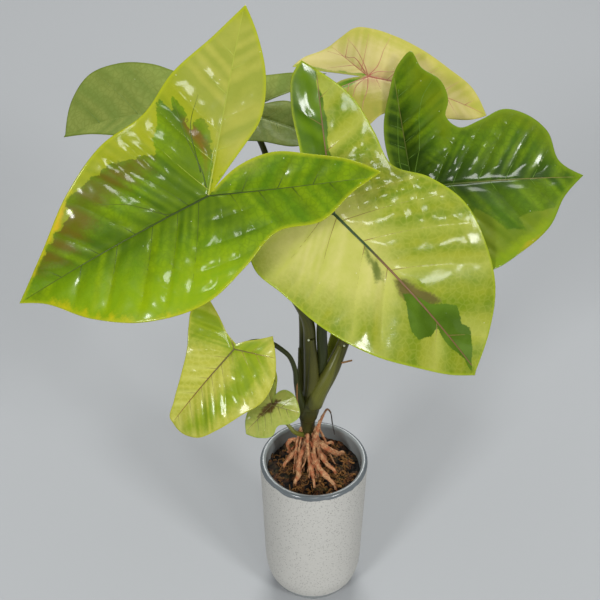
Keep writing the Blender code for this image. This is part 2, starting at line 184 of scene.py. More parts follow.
def hermite(t, start, leave, end, arrive):
    """A cubic between two points, with its slopes there."""
    return ((2 * t**3 - 3 * t**2 + 1) * start + (t**3 - 2 * t**2 + t) * leave
            + (3 * t**2 - 2 * t**3) * end + (t**3 - t**2) * arrive)


def smooth_run(points, count):
    """So many places along a smooth curve through the points; the slope at each point is half the
    way from the point before to the point after."""
    knots = np.array(points, float)
    slopes = np.gradient(knots, axis=0)
    place = np.linspace(0.0, len(knots) - 1.0, count)
    span = np.minimum(place.astype(int), len(knots) - 2)
    t = (place - span)[:, None]
    return hermite(t, knots[span], slopes[span], knots[span + 1], slopes[span + 1])


# %% [markdown]
# The seven blades are the heart of the plant. A syngonium blade is an arrowhead: it hangs from its
# stalk at a notch, runs to a tip, and throws two lobes back. It could be cut from a flat plane and
# bent with modifiers, but here each blade is a fan: rays run from the stalk's end to the outline, and
# rings cross them. The flat fan is then creased along its main veins, curled, turned and put in
# place, with the same numbers and the same formulas as the CAD solids.

# %% The blades' flat shapes
LEAVES = {
    "leaf_front_left": {
        "at": (-55, -35, 338),
        "pose": (-160, -20, -46),
        "ribs": ((0, 12), (158, 18), (-128, 10)),
        "bends": ((0, 10, 90, -25), (-128, 40, 60, -12), (158, 20, 50, 10)),
        "outline": ((-4, -1.6), (-22, -11), (-42, -22), (-53, -38), (-60, -60), (-63, -80),
                    (-40, -71), (-12, -62), (10, -50), (34, -46), (60, -34), (88, -16), (117, 0),
                    (103, 7), (80, 27), (55, 42), (24, 48), (0, 41), (-22, 33), (-45, 39),
                    (-66, 33), (-82, 31), (-72, 19), (-56, 7), (-38, -4), (-20, -6)),
        "sharp": (0, 5, 12, 21),
    },
    "leaf_front_right": {
        "at": (9, -15, 314),
        "pose": (-32, -33, 33),
        "ribs": ((0, 10), (142, 14), (-144, 10)),
        "bends": ((0, 20, 90, -30), (142, 15, 50, 12)),
        "outline": ((-4, 0), (-12, -5), (-24, -15), (-33, -27), (-28, -37), (-19, -46), (-8, -52),
                    (10, -51), (36, -49), (64, -40), (90, -25), (110, -12), (122, -2), (106, 19),
                    (88, 36), (66, 47), (44, 53), (22, 49), (3, 40), (-16, 46), (-38, 51),
                    (-56, 49), (-70, 45), (-68, 36), (-58, 25), (-40, 13), (-24, 3)),
        "sharp": (0, 12, 22),
    },
    "leaf_right": {
        "at": (54.6, 30, 302.4),
        "pose": (-5, 10, 35),
        "ribs": ((0, 14), (95, 14), (-105, 10)),
        "bends": ((0, 10, 82, -12),),
        "outline": ((-5, 0), (-17, -27), (-19, -54), (-10, -74), (0, -78), (12, -60), (25, -54), (39, -56),
                    (56, -47), (72, -33), (84, -12), (96, 1), (83, 9), (77, 26), (66, 36), (54, 40),
                    (41, 35), (29, 32), (22, 40), (24, 49), (21, 62), (10, 74), (4, 86), (-3, 80),
                    (-10, 60), (-14, 37), (-11, 14)),
        "sharp": (0, 4, 11),
    },
    "leaf_back_right": {
        "at": (31.6, 98, 338.5),
        "pose": (-14, -6, 28),
        "ribs": ((0, 10), (150, 8), (-140, 8)),
        "bends": ((0, 11, 85, -35),),
        "outline": ((-4, -1.4), (-18, -11), (-21, -23), (-15, -41), (-2, -49), (9, -36), (15, -26),
                    (26, -21), (47, -17), (66, -9), (76, 0), (62, 12), (45, 18), (26, 25), (9, 30),
                    (-4, 32), (-15, 31), (-23, 22), (-31, 11), (-41, 1), (-45, -6.4), (-30, -4.9),
                    (-15, -2.8)),
        "sharp": (0, 4, 10, 20),
    },
    "leaf_back_left": {
        "at": (-43.2, 60, 335.9),
        "pose": (176, 0, -25),
        "ribs": ((0, 15), (160, 8), (-152, 8)),
        "bends": ((0, 10, 90, -30),),
        "outline": ((-4, -1.8), (-16, -8), (-28, -14.2), (-48, -28), (-28, -27), (-12, -24),
                    (10, -24), (34, -23), (54, -31), (76, -35), (96, -32), (108, -20), (114, 2),
                    (92, 8), (70, 16), (44, 23), (16, 24), (-14, 23), (-34, 25), (-50, 16), (-40, 2),
                    (-26, -7), (-14, -5)),
        "sharp": (0, 3, 12, 19),
    },
    "leaf_low_left": {
        "at": (-46.7, -22, 226.8),
        "pose": (-150, -40, -35),
        "ribs": ((0, 12), (120, 10), (-120, 10)),
        "bends": ((0, 10, 45, -25),),
        "outline": ((-3, -1), (-4, -9), (-8, -19), (-12, -32), (-2, -34), (8, -28), (18, -20), (32, -13),
                    (48, -7), (60, -2), (61, 5), (54, 17), (40, 24), (24, 29), (10, 33), (-4, 29),
                    (-14, 20), (-21, 12), (-14, 7), (-8, 2)),
        "sharp": (0, 3, 17),
    },
    "leaf_lowest": {
        "at": (-25.9, -16, 177.7),
        "pose": (-150, -35, -30),
        "ribs": ((0, 10), (120, 10), (-120, 10)),
        "bends": ((0, 5, 20, -15),),
        "outline": ((-2, -1), (-7, -4), (-11, -10), (-4, -13), (4, -10), (12, -8), (18, -5), (24, 1),
                    (19, 9), (12, 14), (6, 12), (0, 16), (-7, 17), (-12, 11), (-14, 5), (-12, -1),
                    (-7, -3)),
        "sharp": (0, 7),
    },
}
print("blades:", ", ".join(LEAVES))


# %% [markdown]
# The outline is a smooth closed curve through its points, except at the corners: the tip, the lobes'
# ends and the notch. The crease lifts the blade to both sides of every main vein and rounds it off
# between them. A bend curls everything past a line through a circular arc. Heading, pitch and roll
# then turn the blade, as a hand would turn a cut-out leaf.

# %% From the flat shape to the place in the air
def smooth_outline(points, sharp, spacing):
    """A closed outline through the points, smooth except at the sharp ones, at about this spacing.
    A smooth point's slope is the mean of the slopes of its two chords, the shorter weighing more."""
    knots = np.array(points, float)
    ahead = np.roll(knots, -1, axis=0) - knots
    behind = knots - np.roll(knots, 1, axis=0)
    far = np.linalg.norm(ahead, axis=1)[:, None]
    near = np.linalg.norm(behind, axis=1)[:, None]
    slope = (behind / near * far + ahead / far * near) / (near + far)
    corner = np.isin(np.arange(len(knots)), sharp)[:, None]
    next_corner = np.roll(corner, -1, axis=0)
    leave = slope * far
    arrive = np.roll(slope, -1, axis=0) * far
    leave_corner = np.where(next_corner, ahead, 1.5 * ahead - 0.5 * arrive)
    arrive_corner = np.where(corner, ahead, 1.5 * ahead - 0.5 * leave)
    leave, arrive = np.where(corner, leave_corner, leave), np.where(next_corner, arrive_corner, arrive)
    spans = []
    for i, length in enumerate(far.ravel()):
        t = np.linspace(0.0, 1.0, max(1, round(length / spacing)), endpoint=False)[:, None]
        spans.append(hermite(t, knots[i], leave[i], knots[i] + ahead[i], arrive[i]))
    return np.concatenate(spans)


def leaf_axes(pose):
    """The leaf's tip direction, left direction and upper normal, from heading, pitch and roll."""
    heading, pitch, roll = np.radians(pose)
    ahead = np.array([math.cos(heading), math.sin(heading), 0.0])
    level = np.array([-math.sin(heading), math.cos(heading), 0.0])
    tip = ahead * math.cos(pitch) + np.array([0.0, 0.0, math.sin(pitch)])
    upright = np.cross(tip, level)
    left = level * math.cos(roll) + upright * math.sin(roll)
    normal = upright * math.cos(roll) - level * math.sin(roll)
    return np.stack([tip, left, normal])


def rib_slopes(ribs, flat):
    """How steeply the blade stands over each rib here: the tangent of its fold, times the sine of the
    angle between the rib and the way here, up to a right angle."""
    angle = np.arctan2(flat[:, 1], flat[:, 0])[:, None]
    directions, folds = np.radians(np.array(ribs, float)).T
    away = np.abs((angle - directions + math.pi) % (2 * math.pi) - math.pi)
    return np.tan(folds) * np.sin(np.minimum(away, math.pi / 2))


CREASE_SOFTNESS = 0.02
CREASE_SHARPNESS = 4.0


def crease(ribs, flat):
    """Height of the blade above its ribs: a soft minimum of its slopes over all of them, times the
    distance from the stalk."""
    total = ((rib_slopes(ribs, flat) + CREASE_SOFTNESS) ** -CREASE_SHARPNESS).sum(axis=1)
    return np.hypot(flat[:, 0], flat[:, 1]) * (total ** (-1 / CREASE_SHARPNESS) - CREASE_SOFTNESS)


def bend(points, direction, start, length, angle):
    """Curl the points past the start, along a direction, through a circular arc, then straight on."""
    along = np.array([math.cos(math.radians(direction)), math.sin(math.radians(direction))])
    past = points[:, :2] @ along - start
    radius = length / math.radians(angle)
    turn = np.clip(past, 0.0, length) / radius
    beyond = np.maximum(past - length, 0.0)
    height = points[:, 2]
    forward = (radius - height) * np.sin(turn) + beyond * np.cos(turn)
    raised = radius - (radius - height) * np.cos(turn) + beyond * np.sin(turn)
    shift = np.where(past > 0, forward - past, 0.0)
    level = points[:, :2] + shift[:, None] * along
    return np.column_stack([level, np.where(past > 0, raised, height)])


def leaf_points(leaf, flat):
    """Flat (u, v) points of a leaf carried onto its creased and curled blade."""
    points = np.column_stack([flat, crease(leaf["ribs"], flat)])
    for direction, start, length, angle in leaf["bends"]:
        points = bend(points, direction, start, length, angle)
    return np.array(leaf["at"]) + points @ leaf_axes(leaf["pose"])


# %% [markdown]
# Between its side veins a real blade swells up like a quilt, and that is what breaks the light on it
# into bright flecks. The side veins leave each main vein at a steady spacing, lean towards the tip
# and curve on. Running back along one from any point of the blade gives the place where it started;
# counted in spacings, that place is the phase: whole numbers are veins, halves are the crests of the
# quilts. The same phase later draws the veins' colour, so relief and colour cannot part.

# %% The pattern of veins
VEIN_HABIT = {
    "leaf_front_left": {
        "spacing": 12.0, "first": 4.0, "lean": (0.50, 0.006), "quilt": 1.15, "pucker": 0.08, "seed": 3,
    },
    "leaf_front_right": {
        "spacing": 12.0, "first": 5.0, "lean": (0.45, 0.012), "quilt": 1.45, "pucker": 0.03, "seed": 5,
        "measured": {(0, 1): (-6, 5, 16.5, 28, 43.5, 55), (0, -1): (-8, 2, 18, 27, 41, 53)},
    },
    "leaf_right": {
        "spacing": 10.0, "first": 2.0, "lean": (0.45, 0.004), "quilt": 1.40, "pucker": 0.03, "seed": 7,
        "measured": {(0, 1): (0, 12, 21, 32, 43, 53, 62), (0, -1): (6, 20, 37, 52, 64)},
    },
    "leaf_back_right": {
        "spacing": 11.0, "first": 1.0, "lean": (0.60, 0.006), "quilt": 0.22, "pucker": 0.02, "seed": 9,
    },
    "leaf_back_left": {
        "spacing": 12.0, "first": 3.0, "lean": (0.60, 0.006), "quilt": 0.25, "pucker": 0.02, "seed": 11,
    },
    "leaf_low_left": {
        "spacing": 7.5, "first": 2.0, "lean": (0.70, 0.006), "quilt": 0.90, "pucker": 0.06, "seed": 13,
    },
    "leaf_lowest": {
        "spacing": 5.0, "first": 1.0, "lean": (0.70, 0.006), "quilt": 0.15, "pucker": 0.03, "seed": 15,
    },
}
VEIN_CURVE = 0.0022
VEIN_NUMBERS = np.arange(-8, 22)
VEIN_JITTER = 0.14
OTHER_SIDE_SHIFT = 0.45
print("side veins every", {name: habit["spacing"] for name, habit in VEIN_HABIT.items()}, "mm")


def vein_starts(name, rib, side):
    """Where the numbered side veins leave a rib on one side, in millimetres from the stalk: evenly
    spaced, each moved a little by a seeded draw, with those measured on the real leaf in their place."""
    habit = VEIN_HABIT[name]
    draw = np.random.default_rng((habit["seed"], rib, side + 1))
    places = VEIN_NUMBERS + draw.uniform(-VEIN_JITTER, VEIN_JITTER, len(VEIN_NUMBERS))
    places = habit["first"] + habit["spacing"] * (places + (0.0 if side > 0 else OTHER_SIDE_SHIFT))
    measured = habit.get("measured", {}).get((rib, side))
    if measured:
        last = len(measured) - 1
        beyond = np.minimum(VEIN_NUMBERS, 0) + np.maximum(VEIN_NUMBERS - last, 0)
        places = np.interp(VEIN_NUMBERS, np.arange(last + 1), measured) + habit["spacing"] * beyond
    return places


def vein_pattern(name, flat):
    """For each point: its phase along the side veins of every rib, its share of every rib, and its
    distances from every rib and along it. A point's share of a rib is large where its slope over
    that rib is small."""
    ribs = LEAVES[name]["ribs"]
    lean, turning = VEIN_HABIT[name]["lean"]
    directions = np.radians(np.array(ribs, float)[:, 0])
    along = flat[:, :1] * np.cos(directions) + flat[:, 1:] * np.sin(directions)
    across = flat[:, 1:] * np.cos(directions) - flat[:, :1] * np.sin(directions)
    away = np.abs(across)
    start = (along - lean * away - VEIN_CURVE * away**2) / (1 + turning * np.maximum(along, 0.0))
    phase = np.zeros_like(start)
    for rib in range(len(ribs)):
        left = np.interp(start[:, rib], vein_starts(name, rib, 1), VEIN_NUMBERS)
        right = np.interp(start[:, rib], vein_starts(name, rib, -1), VEIN_NUMBERS)
        phase[:, rib] = np.where(across[:, rib] > 0, left, right)
    weight = (rib_slopes(ribs, flat) + CREASE_SOFTNESS) ** -CREASE_SHARPNESS
    return phase, weight / weight.sum(axis=1)[:, None], away, along


def value_noise(place, seed):
    """Smooth noise along a line, from 0 to 1: random values at the whole numbers, joined softly."""
    values = np.random.default_rng(seed).uniform(0.0, 1.0, 512)
    whole = np.floor(place).astype(int)
    t = place - whole
    t = t * t * (3 - 2 * t)
    return values[whole % 512] * (1 - t) + values[(whole + 1) % 512] * t


# %% [markdown]
# Variegated leaves carry whole sectors of another colour, with edges that step along the veins, and
# softer washes of yellow, brown or pale green. Each is an outline in the blade's flat frame, drawn
# with only the points that its shape needs, its two colours, how soft its edge is and how ragged, in
# millimetres. What the material gets is the distance to the outline, positive inside, so that it can
# blur or roughen the edge. The same function gives the distance to the blade's own margin.

# %% The washes of colour
WASHES = {
    "leaf_front_left": (
        ("#5e780c", "#44600a", 9.0, 8.0,
         ((30, -8), (62, -10), (84, -4), (60, 4), (32, 8), (10, 14), (-8, 26), (-14, 14), (-8, -2),
          (-16, -30), (-8, -48), (4, -44), (8, -28), (20, -22))),
        ("#86a008", "#76960a", 14.0, 8.0,
         ((120, 0), (90, 30), (40, 56), (-10, 54), (6, 30), (40, 24), (80, 8))),
        ("#a0a80c", "#bcb010", 4.0, 6.0,
         ((122, -4), (104, 14), (80, 34), (55, 50), (24, 56), (-6, 52), (4, 49), (26, 50), (55, 43),
          (80, 28), (100, 9))),
        ("#586a0a", "#625a10", 6.0, 6.0,
         ((94, -10), (78, -22), (60, -34), (40, -36), (16, -32), (22, -24), (42, -22), (58, -16),
          (76, -8))),
        ("#7a6a14", "#6a5410", 2.5, 3.0,
         ((-4, -10), (-7, -22), (-6, -36), (-9, -40), (-11, -30), (-9, -16))),
        ("#969c1e", "#828e12", 0.3, 2.6,
         ((0, 0), (-6, -10), (-13, -19), (-16, -32), (-16, -35), (-12, -36), (-8, -34), (-9, -44),
          (-7, -51), (-4, -47), (-2, -54), (1, -53), (3, -45), (8, -39), (11, -36), (11, -30), (20, -32),
          (36, -36), (46, -34), (57, -32), (66, -29), (63, -25), (73, -21), (90, -14), (118, -4),
          (110, -60), (20, -100), (-80, -100), (-80, -60), (-40, -20), (-10, -4))),
        ("#a6a648", "#8e9638", 8.0, 4.0,
         ((-14, -8), (-18, -30), (-15, -60), (-36, -90), (-80, -60), (-60, -20), (-26, -4))),
        ("#cdb81c", "#c4a41c", 1.6, 2.0,
         ((100, -9), (86, -17), (72, -23), (66, -29), (58, -34), (60, -42), (80, -32), (100, -18))),
    ),
    "leaf_front_right": (
        ("#c2be70", "#b2b456", 14.0, 7.0,
         ((-24, -34), (-10, -6), (-14, 8), (4, 12), (24, 8), (44, 3), (54, -6), (50, -22), (30, -34),
          (0, -48))),
        ("#c2bc4a", "#aab038", 8.0, 5.0,
         ((-14, 6), (-44, 34), (-80, 50), (-70, 0), (-30, -6))),
        ("#6a6030", "#5c5c28", 1.5, 3.0,
         ((48, -2), (55, -6), (63, -6), (68, 0), (72, 8), (66, 8), (58, 4), (51, 2))),
        ("#405c0a", "#54721a", 0.3, 1.6,
         ((55, -4), (61, -7), (66, -11), (72, -14), (80, -15), (81, -12), (84, -8), (83, -2), (88, -3),
          (99, -3), (110, -1), (118, -2), (113, 2), (106, 6), (101, 10), (96, 12), (91, 10), (88, 12),
          (81, 13), (76, 9), (71, 3), (67, 2), (60, 0))),
        ("#7c8440", "#5c6a2a", 1.4, 2.5,
         ((24, -1), (30, -2), (40, -3), (43, -7), (42, -11), (36, -8), (30, -6))),
        ("#5c7a0c", "#46640c", 0.4, 1.2,
         ((-66, 51), (-61, 47), (-54, 42), (-45, 38), (-36, 31), (-22, 20), (-8, 7), (-12, 0), (-40, 8),
          (-64, 22), (-76, 40), (-76, 52))),
    ),
    "leaf_right": (
        ("#38520a", "#2a4208", 9.0, 7.0,
         ((0, -6), (30, -8), (60, -4), (80, 0), (60, 8), (36, 14), (14, 16), (0, 34), (-8, 56), (-14, 40),
          (-10, 14))),
        ("#687a0c", "#566e0c", 6.0, 4.0,
         ((20, 24), (26, 34), (42, 30), (56, 34), (70, 26), (78, 14), (92, 6), (90, 30), (60, 50),
          (30, 46), (20, 80), (0, 92), (2, 60), (14, 40))),
        ("#72821e", "#5c7214", 0.7, 1.8,
         ((34, -18), (43, -25), (50, -33), (60, -34), (59, -30), (57, -25), (68, -22), (75, -20),
          (84, -17), (90, -40), (50, -64), (22, -64), (8, -50))),
        ("#6c8612", "#7c9012", 3.0, 4.0,
         ((30, -52), (46, -46), (60, -38), (70, -29), (80, -16), (94, -14), (80, -40), (50, -64),
          (26, -66))),
        ("#b8a41c", "#c79a20", 2.0, 1.5,
         ((52, -52), (58, -44), (64, -40), (70, -36), (66, -46))),
    ),
    "leaf_back_right": (
        ("#b4ae4e", "#a8a848", 7.0, 5.0,
         ((76, 6), (45, 24), (9, 37), (-22, 34), (-50, 2), (-36, 8), (-20, 20), (4, 24), (40, 12),
          (66, -4), (80, -6))),
        ("#a8a040", "#989a38", 6.0, 4.0,
         ((-24, -10), (-8, -12), (10, -12), (30, -14), (50, -20), (20, -50), (-20, -50))),
        ("#b89c70", "#b89468", 7.0, 5.0,
         ((-4, -4), (-3, 4), (5, 5), (10, 0), (5, -6))),
        ("#55801a", "#6a8f24", 0.8, 1.5,
         ((-1, 1), (-12, -1), (-30, -3.2), (-46, -5), (-50, -12), (-30, -9), (-16, -8), (-20, -14),
          (-22, -24), (-16, -41), (-13, -40), (-16, -24), (-14, -14), (-6, -6))),
    ),
    "leaf_back_left": (),
    "leaf_low_left": (
        ("#8ea01e", "#7c921a", 5.0, 4.0,
         ((-16, 12), (-2, 24), (18, 24), (48, 17), (62, 6), (44, 8), (14, 12), (2, 4), (4, -8), (14, -22),
          (0, -36), (-10, -30), (-8, -10), (-18, 4))),
    ),
    "leaf_lowest": (
        ("#4c3a20", "#5c4a24", 1.0, 1.5,
         ((-4, -2), (0, -2.5), (5, -2), (11, -1), (6, 1), (3, 3), (-2, 2), (-6, 2))),
    ),
}
WASH_REACH = 24.0
LONGEST_SIDE = 99.0
print("washes:", {name: len(washes) for name, washes in WASHES.items()})


def distance_inside(outline, flat):
    """Distance from each point to a closed outline, positive inside: the least distance to any of its
    sides, with its sign from how often a line sideways crosses them."""
    start = np.array(outline, float)
    side = np.roll(start, -1, axis=0) - start
    best = np.full(len(flat), np.inf)
    crossings = np.zeros(len(flat), int)
    for (x, y), (dx, dy) in zip(start, side):
        px, py = flat[:, 0] - x, flat[:, 1] - y
        t = np.clip((px * dx + py * dy) / (dx * dx + dy * dy), 0.0, 1.0)
        best = np.minimum(best, np.hypot(px - t * dx, py - t * dy))
        if dy:
            level = (py / dy >= 0) & (py / dy < 1)
            crossings += level & (px < dx * py / dy)
    return best * np.where(crossings % 2, 1.0, -1.0)


# %% [markdown]
# A blade is one closed skin: an upper face, an under face, and a margin where the two share a row of
# points. The upper face has the quilting, a fine groove along each main vein and a little
# unevenness. The under face follows it at the blade's thickness, with the main veins standing out
# like cords, as they do on the real plant. The under face needs fewer rings, because it is smoother.

# %% The blade's relief and fields
EDGE_STEP = {"leaf_low_left": 1.0, "leaf_lowest": 0.9}
USUAL_EDGE_STEP = 1.15
TOP_RINGS = {"leaf_low_left": 60, "leaf_lowest": 32}
USUAL_TOP_RINGS = 96
UNDER_RINGS = 24
LEAF_THICKNESS = 0.45
MARGIN_ROUNDING = 0.25
MARGIN_SPACING = 5.0
GROOVE_DEPTH = 0.45
GROOVE_WIDTH = 1.1
RIB_HEIGHT = 1.1
RIB_WIDTH = 1.3
RIB_TAPER = (0.1, 0.95)
QUILT_FULLNESS = 0.8
QUILT_MEAN = 0.55
QUILT_RISE = (0.5, 8.0)
QUILT_AT_RIB = 0.35
QUILT_TO_MARGIN = (0.5, 10.0)
FLUTTER = 0.3
FLUTTER_WAVES = (7, 15)
FLUTTER_TO_MARGIN = (-1.0, 6.0)
PUCKER_LENGTH = 8.0
PUCKER_TO_MARGIN = (0.0, 8.0)
CORRUGATION = 0.32
STREAK_PITCH = 5.0
CORRUGATION_PITCH = 2.6
NORMAL_STEP = 0.05


def soft_step(value, low, high):
    """0 below low, 1 above high, and a smooth S between."""
    t = np.clip((value - low) / (high - low), 0.0, 1.0)
    return t * t * (3 - 2 * t)


def along_veins(phase, share, pitch, seed):
    """Smooth noise that changes only across the side veins, so many times from one to the next."""
    columns = [value_noise(phase[:, i] * pitch + 40 * i + 50, seed + i) for i in range(share.shape[1])]
    return (share * np.stack(columns, axis=1)).sum(axis=1)


def blade_fields(name, flat, reach):
    """What a blade's relief and colour are made from, for points in its flat frame; reach is how far
    out along its ray each point lies, from 0 to 1. The relief is the quilts, fine corrugations along
    the veins, a flutter that grows towards the margin and a little pucker, less the groove."""
    leaf = LEAVES[name]
    habit = VEIN_HABIT[name]
    phase, share, away, along = vein_pattern(name, flat)
    margin = smooth_outline(leaf["outline"], leaf["sharp"], MARGIN_SPACING)
    rim = np.abs(distance_inside(margin, flat))
    rib = np.where(along > 0, away, np.hypot(away, along)).min(axis=1)
    bulge = np.abs(np.sin(math.pi * phase)) ** QUILT_FULLNESS - QUILT_MEAN
    quilt = (share * bulge * soft_step(away, *QUILT_RISE)).sum(axis=1)
    near_rib = QUILT_AT_RIB + (1 - QUILT_AT_RIB) * soft_step(rib, *QUILT_RISE)
    fade = soft_step(rim, *QUILT_TO_MARGIN) * near_rib
    angle = np.arctan2(flat[:, 1], flat[:, 0])
    slow, quick = FLUTTER_WAVES
    flutter = reach**3 * (np.sin(slow * angle + habit["seed"])
                          + 0.5 * np.sin(quick * angle + 2 * habit["seed"]))
    taper = 1 - soft_step(reach, *RIB_TAPER)
    cord = np.exp(-(rib / RIB_WIDTH) ** 2) * taper
    pucker = ripple(flat, PUCKER_LENGTH, habit["seed"] + 50) * soft_step(rim, *PUCKER_TO_MARGIN)
    relief = (habit["quilt"] * quilt * fade + FLUTTER * flutter * soft_step(rim, *FLUTTER_TO_MARGIN)
              + habit["pucker"] * pucker - GROOVE_DEPTH * np.exp(-(rib / GROOVE_WIDTH) ** 2) * taper)
    streak = along_veins(phase, share, STREAK_PITCH, habit["seed"])
    relief += CORRUGATION * (along_veins(phase, share, CORRUGATION_PITCH, habit["seed"]) - 0.5) * fade
    fields = {"phase": phase, "share": share, "rim": rim, "streak": streak}
    for i, (*_, outline) in enumerate(WASHES[name]):
        inside = distance_inside(smooth_outline(outline, range(len(outline)), LONGEST_SIDE), flat)
        fields[f"wash_{i}"] = np.clip(inside, -WASH_REACH, WASH_REACH)
    return relief, cord, fields


# %% [markdown]
# The skin itself: rings of points run from the stalk's end to the margin on the upper face, round the
# margin, and back underneath. Each ring is lifted off the blade's middle surface along its normal.

# %% The blade's skin
def blade_place(leaf, flat, lift):
    """Points lifted off the blade's middle surface along its normal, which comes from two short steps
    in the flat frame."""
    here = leaf_points(leaf, flat)
    ahead = leaf_points(leaf, flat + (NORMAL_STEP, 0.0)) - here
    aside = leaf_points(leaf, flat + (0.0, NORMAL_STEP)) - here
    normal = np.cross(ahead, aside)
    return here + normal / np.linalg.norm(normal, axis=1)[:, None] * np.reshape(lift, (-1, 1))


def blade_sheet(name, edge, rings, is_top):
    """One face of a blade as rows of points, from close to the stalk out to the margin."""
    length = np.linalg.norm(edge, axis=1)
    reach = (np.arange(1, rings + 1) / rings)[:, None] * (1 - MARGIN_ROUNDING / length)
    flat = (edge * reach[..., None]).reshape(-1, 2)
    relief, cord, fields = blade_fields(name, flat, reach.ravel())
    lift = relief + LEAF_THICKNESS / 2 if is_top else relief - LEAF_THICKNESS / 2 - RIB_HEIGHT * cord
    points = blade_place(LEAVES[name], flat, lift)
    sheet = {"points": points, "flat": flat, "relief": relief, **fields}
    return {key: values.reshape(*reach.shape, *values.shape[1:]) for key, values in sheet.items()}


def make_blade(name, finishes):
    """A closed two-sided blade: out over the upper face, round the margin and back underneath."""
    leaf = LEAVES[name]
    edge = smooth_outline(leaf["outline"], leaf["sharp"], EDGE_STEP.get(name, USUAL_EDGE_STEP))
    rings = TOP_RINGS.get(name, USUAL_TOP_RINGS)
    top = blade_sheet(name, edge, rings, True)
    under = blade_sheet(name, edge, UNDER_RINGS, False)
    margin = blade_place(leaf, edge, top["relief"][-1])
    rows = np.concatenate([top.pop("points"), margin[None], under["points"][::-1]])
    poles = blade_place(leaf, np.zeros((2, 2)), (LEAF_THICKNESS / 2 - GROOVE_DEPTH,
                                                 -LEAF_THICKNESS / 2 - RIB_HEIGHT))
    points, faces = closed_skin(rows, *poles)
    upper_faces = len(edge) * (rings + 1)
    face_finish = np.r_[np.zeros(upper_faces), np.ones(len(faces) - upper_faces)]
    top.pop("relief")
    fields = {}
    for key, values in top.items():
        sheet = np.concatenate([values, values[-1:], under[key][::-1]])
        sheet = sheet.reshape(-1, *values.shape[2:])
        fields[key] = np.concatenate([sheet, sheet[:1], sheet[-1:]])
    flat = fields.pop("flat")
    blade = make_piece(name + "_blade", points, faces, finishes, face_finish, fields, flat)
    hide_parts(name)
    return blade


# %% [markdown]
# The seven blades share one kind of tissue, but each has its own greens. For each blade the table
# gives: how strongly the net of fine veins shows, the slot of the record, the two colours of the
# ground, the tone beside the veins and its strength, the rim's colour and width, the roughness and
# the weight of the wax, and the colours of the side veins and of the ribs, near the stalk and far out.

# %% How each leaf looks
LOOKS = {
    "leaf_front_left": {
        "net": 0.25, "slot": "dark_green_leaf", "ground": ("#789408", "#527608"),
        "shoulder": ("#405a04", 0.45), "rim": ("#a0a818", 1.6), "gloss": (0.35, 0.45),
        "vein": ("#384c08", "#56660e"), "rib": ("#2c3f08", "#4a5a10"),
        "pale_vein": "#9aa43a",
    },
    "leaf_front_right": {
        "net": 0.18, "slot": "lime_leaf", "ground": ("#8e9626", "#6c8214"),
        "shoulder": ("#b4b654", 0.55), "rim": ("#98a81c", 1.2), "gloss": (0.35, 0.45),
        "vein": ("#7a5a34", "#8c8a3c"), "rib": ("#2c4420", "#745638"),
    },
    "leaf_right": {
        "net": 0.25, "slot": "dark_green_leaf", "ground": ("#64800c", "#42620c"),
        "shoulder": ("#34480a", 0.4), "rim": ("#70881a", 2.5), "gloss": (0.35, 0.5),
        "vein": ("#54751c", "#5a7a1c"), "rib": ("#3a5a14", "#7a7038"),
    },
    "leaf_back_right": {
        "net": 0.12, "slot": "cream_leaf", "ground": ("#c6ba78", "#bab064"),
        "shoulder": ("#c4b87c", 0.3), "rim": ("#b4ae54", 1.2), "gloss": (0.42, 0.12),
        "vein": ("#b06a54", "#b8906a"), "rib": ("#a8644e", "#b07a5c"),
    },
    "leaf_back_left": {
        "net": 0.4, "slot": "plain_green_leaf", "ground": ("#8a974a", "#788b40"),
        "shoulder": ("#6c7a30", 0.3), "rim": ("#647420", 1.0), "gloss": (0.48, 0.08),
        "vein": ("#66802e", "#6f8834"), "rib": ("#6a8030", "#7f9040"),
    },
    "leaf_low_left": {
        "net": 0.25, "slot": "lime_leaf", "ground": ("#b4b448", "#a0a436"),
        "shoulder": ("#c8c868", 0.5), "rim": ("#a8aa34", 1.0), "gloss": (0.4, 0.3),
        "vein": ("#8a7c30", "#a0a040"), "rib": ("#5f5a24", "#84602c"),
    },
    "leaf_lowest": {
        "net": 0.25, "slot": "lime_leaf", "ground": ("#a2a450", "#8e9a42"),
        "shoulder": ("#b0b460", 0.3), "rim": ("#94a448", 0.8), "gloss": (0.4, 0.2),
        "vein": ("#54482a", "#7c8440"), "rib": ("#5f5a24", "#7a6a38"),
    },
}
print("leaf finishes:", {name: look["slot"] for name, look in LOOKS.items()})

# %% [markdown]
# The green lies in the tissue, under the skin. Its colour comes from the fields that the blade
# carries and from three noises in the flat frame: a ground marbled along the veins, a tone that
# changes beside each vein, a net of the finest veins, the washes one over another, and a rim. A
# painted image could hold all that, but a graph stays sharp at any distance and can be retuned.

# %% The leaf's tissue
BLOTCH_SIZE = 9.0
SPECKLE_SIZE = 1.6
NET_SIZE = 3.4
NET_WANDER = 1.6
WANDER_SIZE = 2.5
RAGGED_GAIN = 1.3


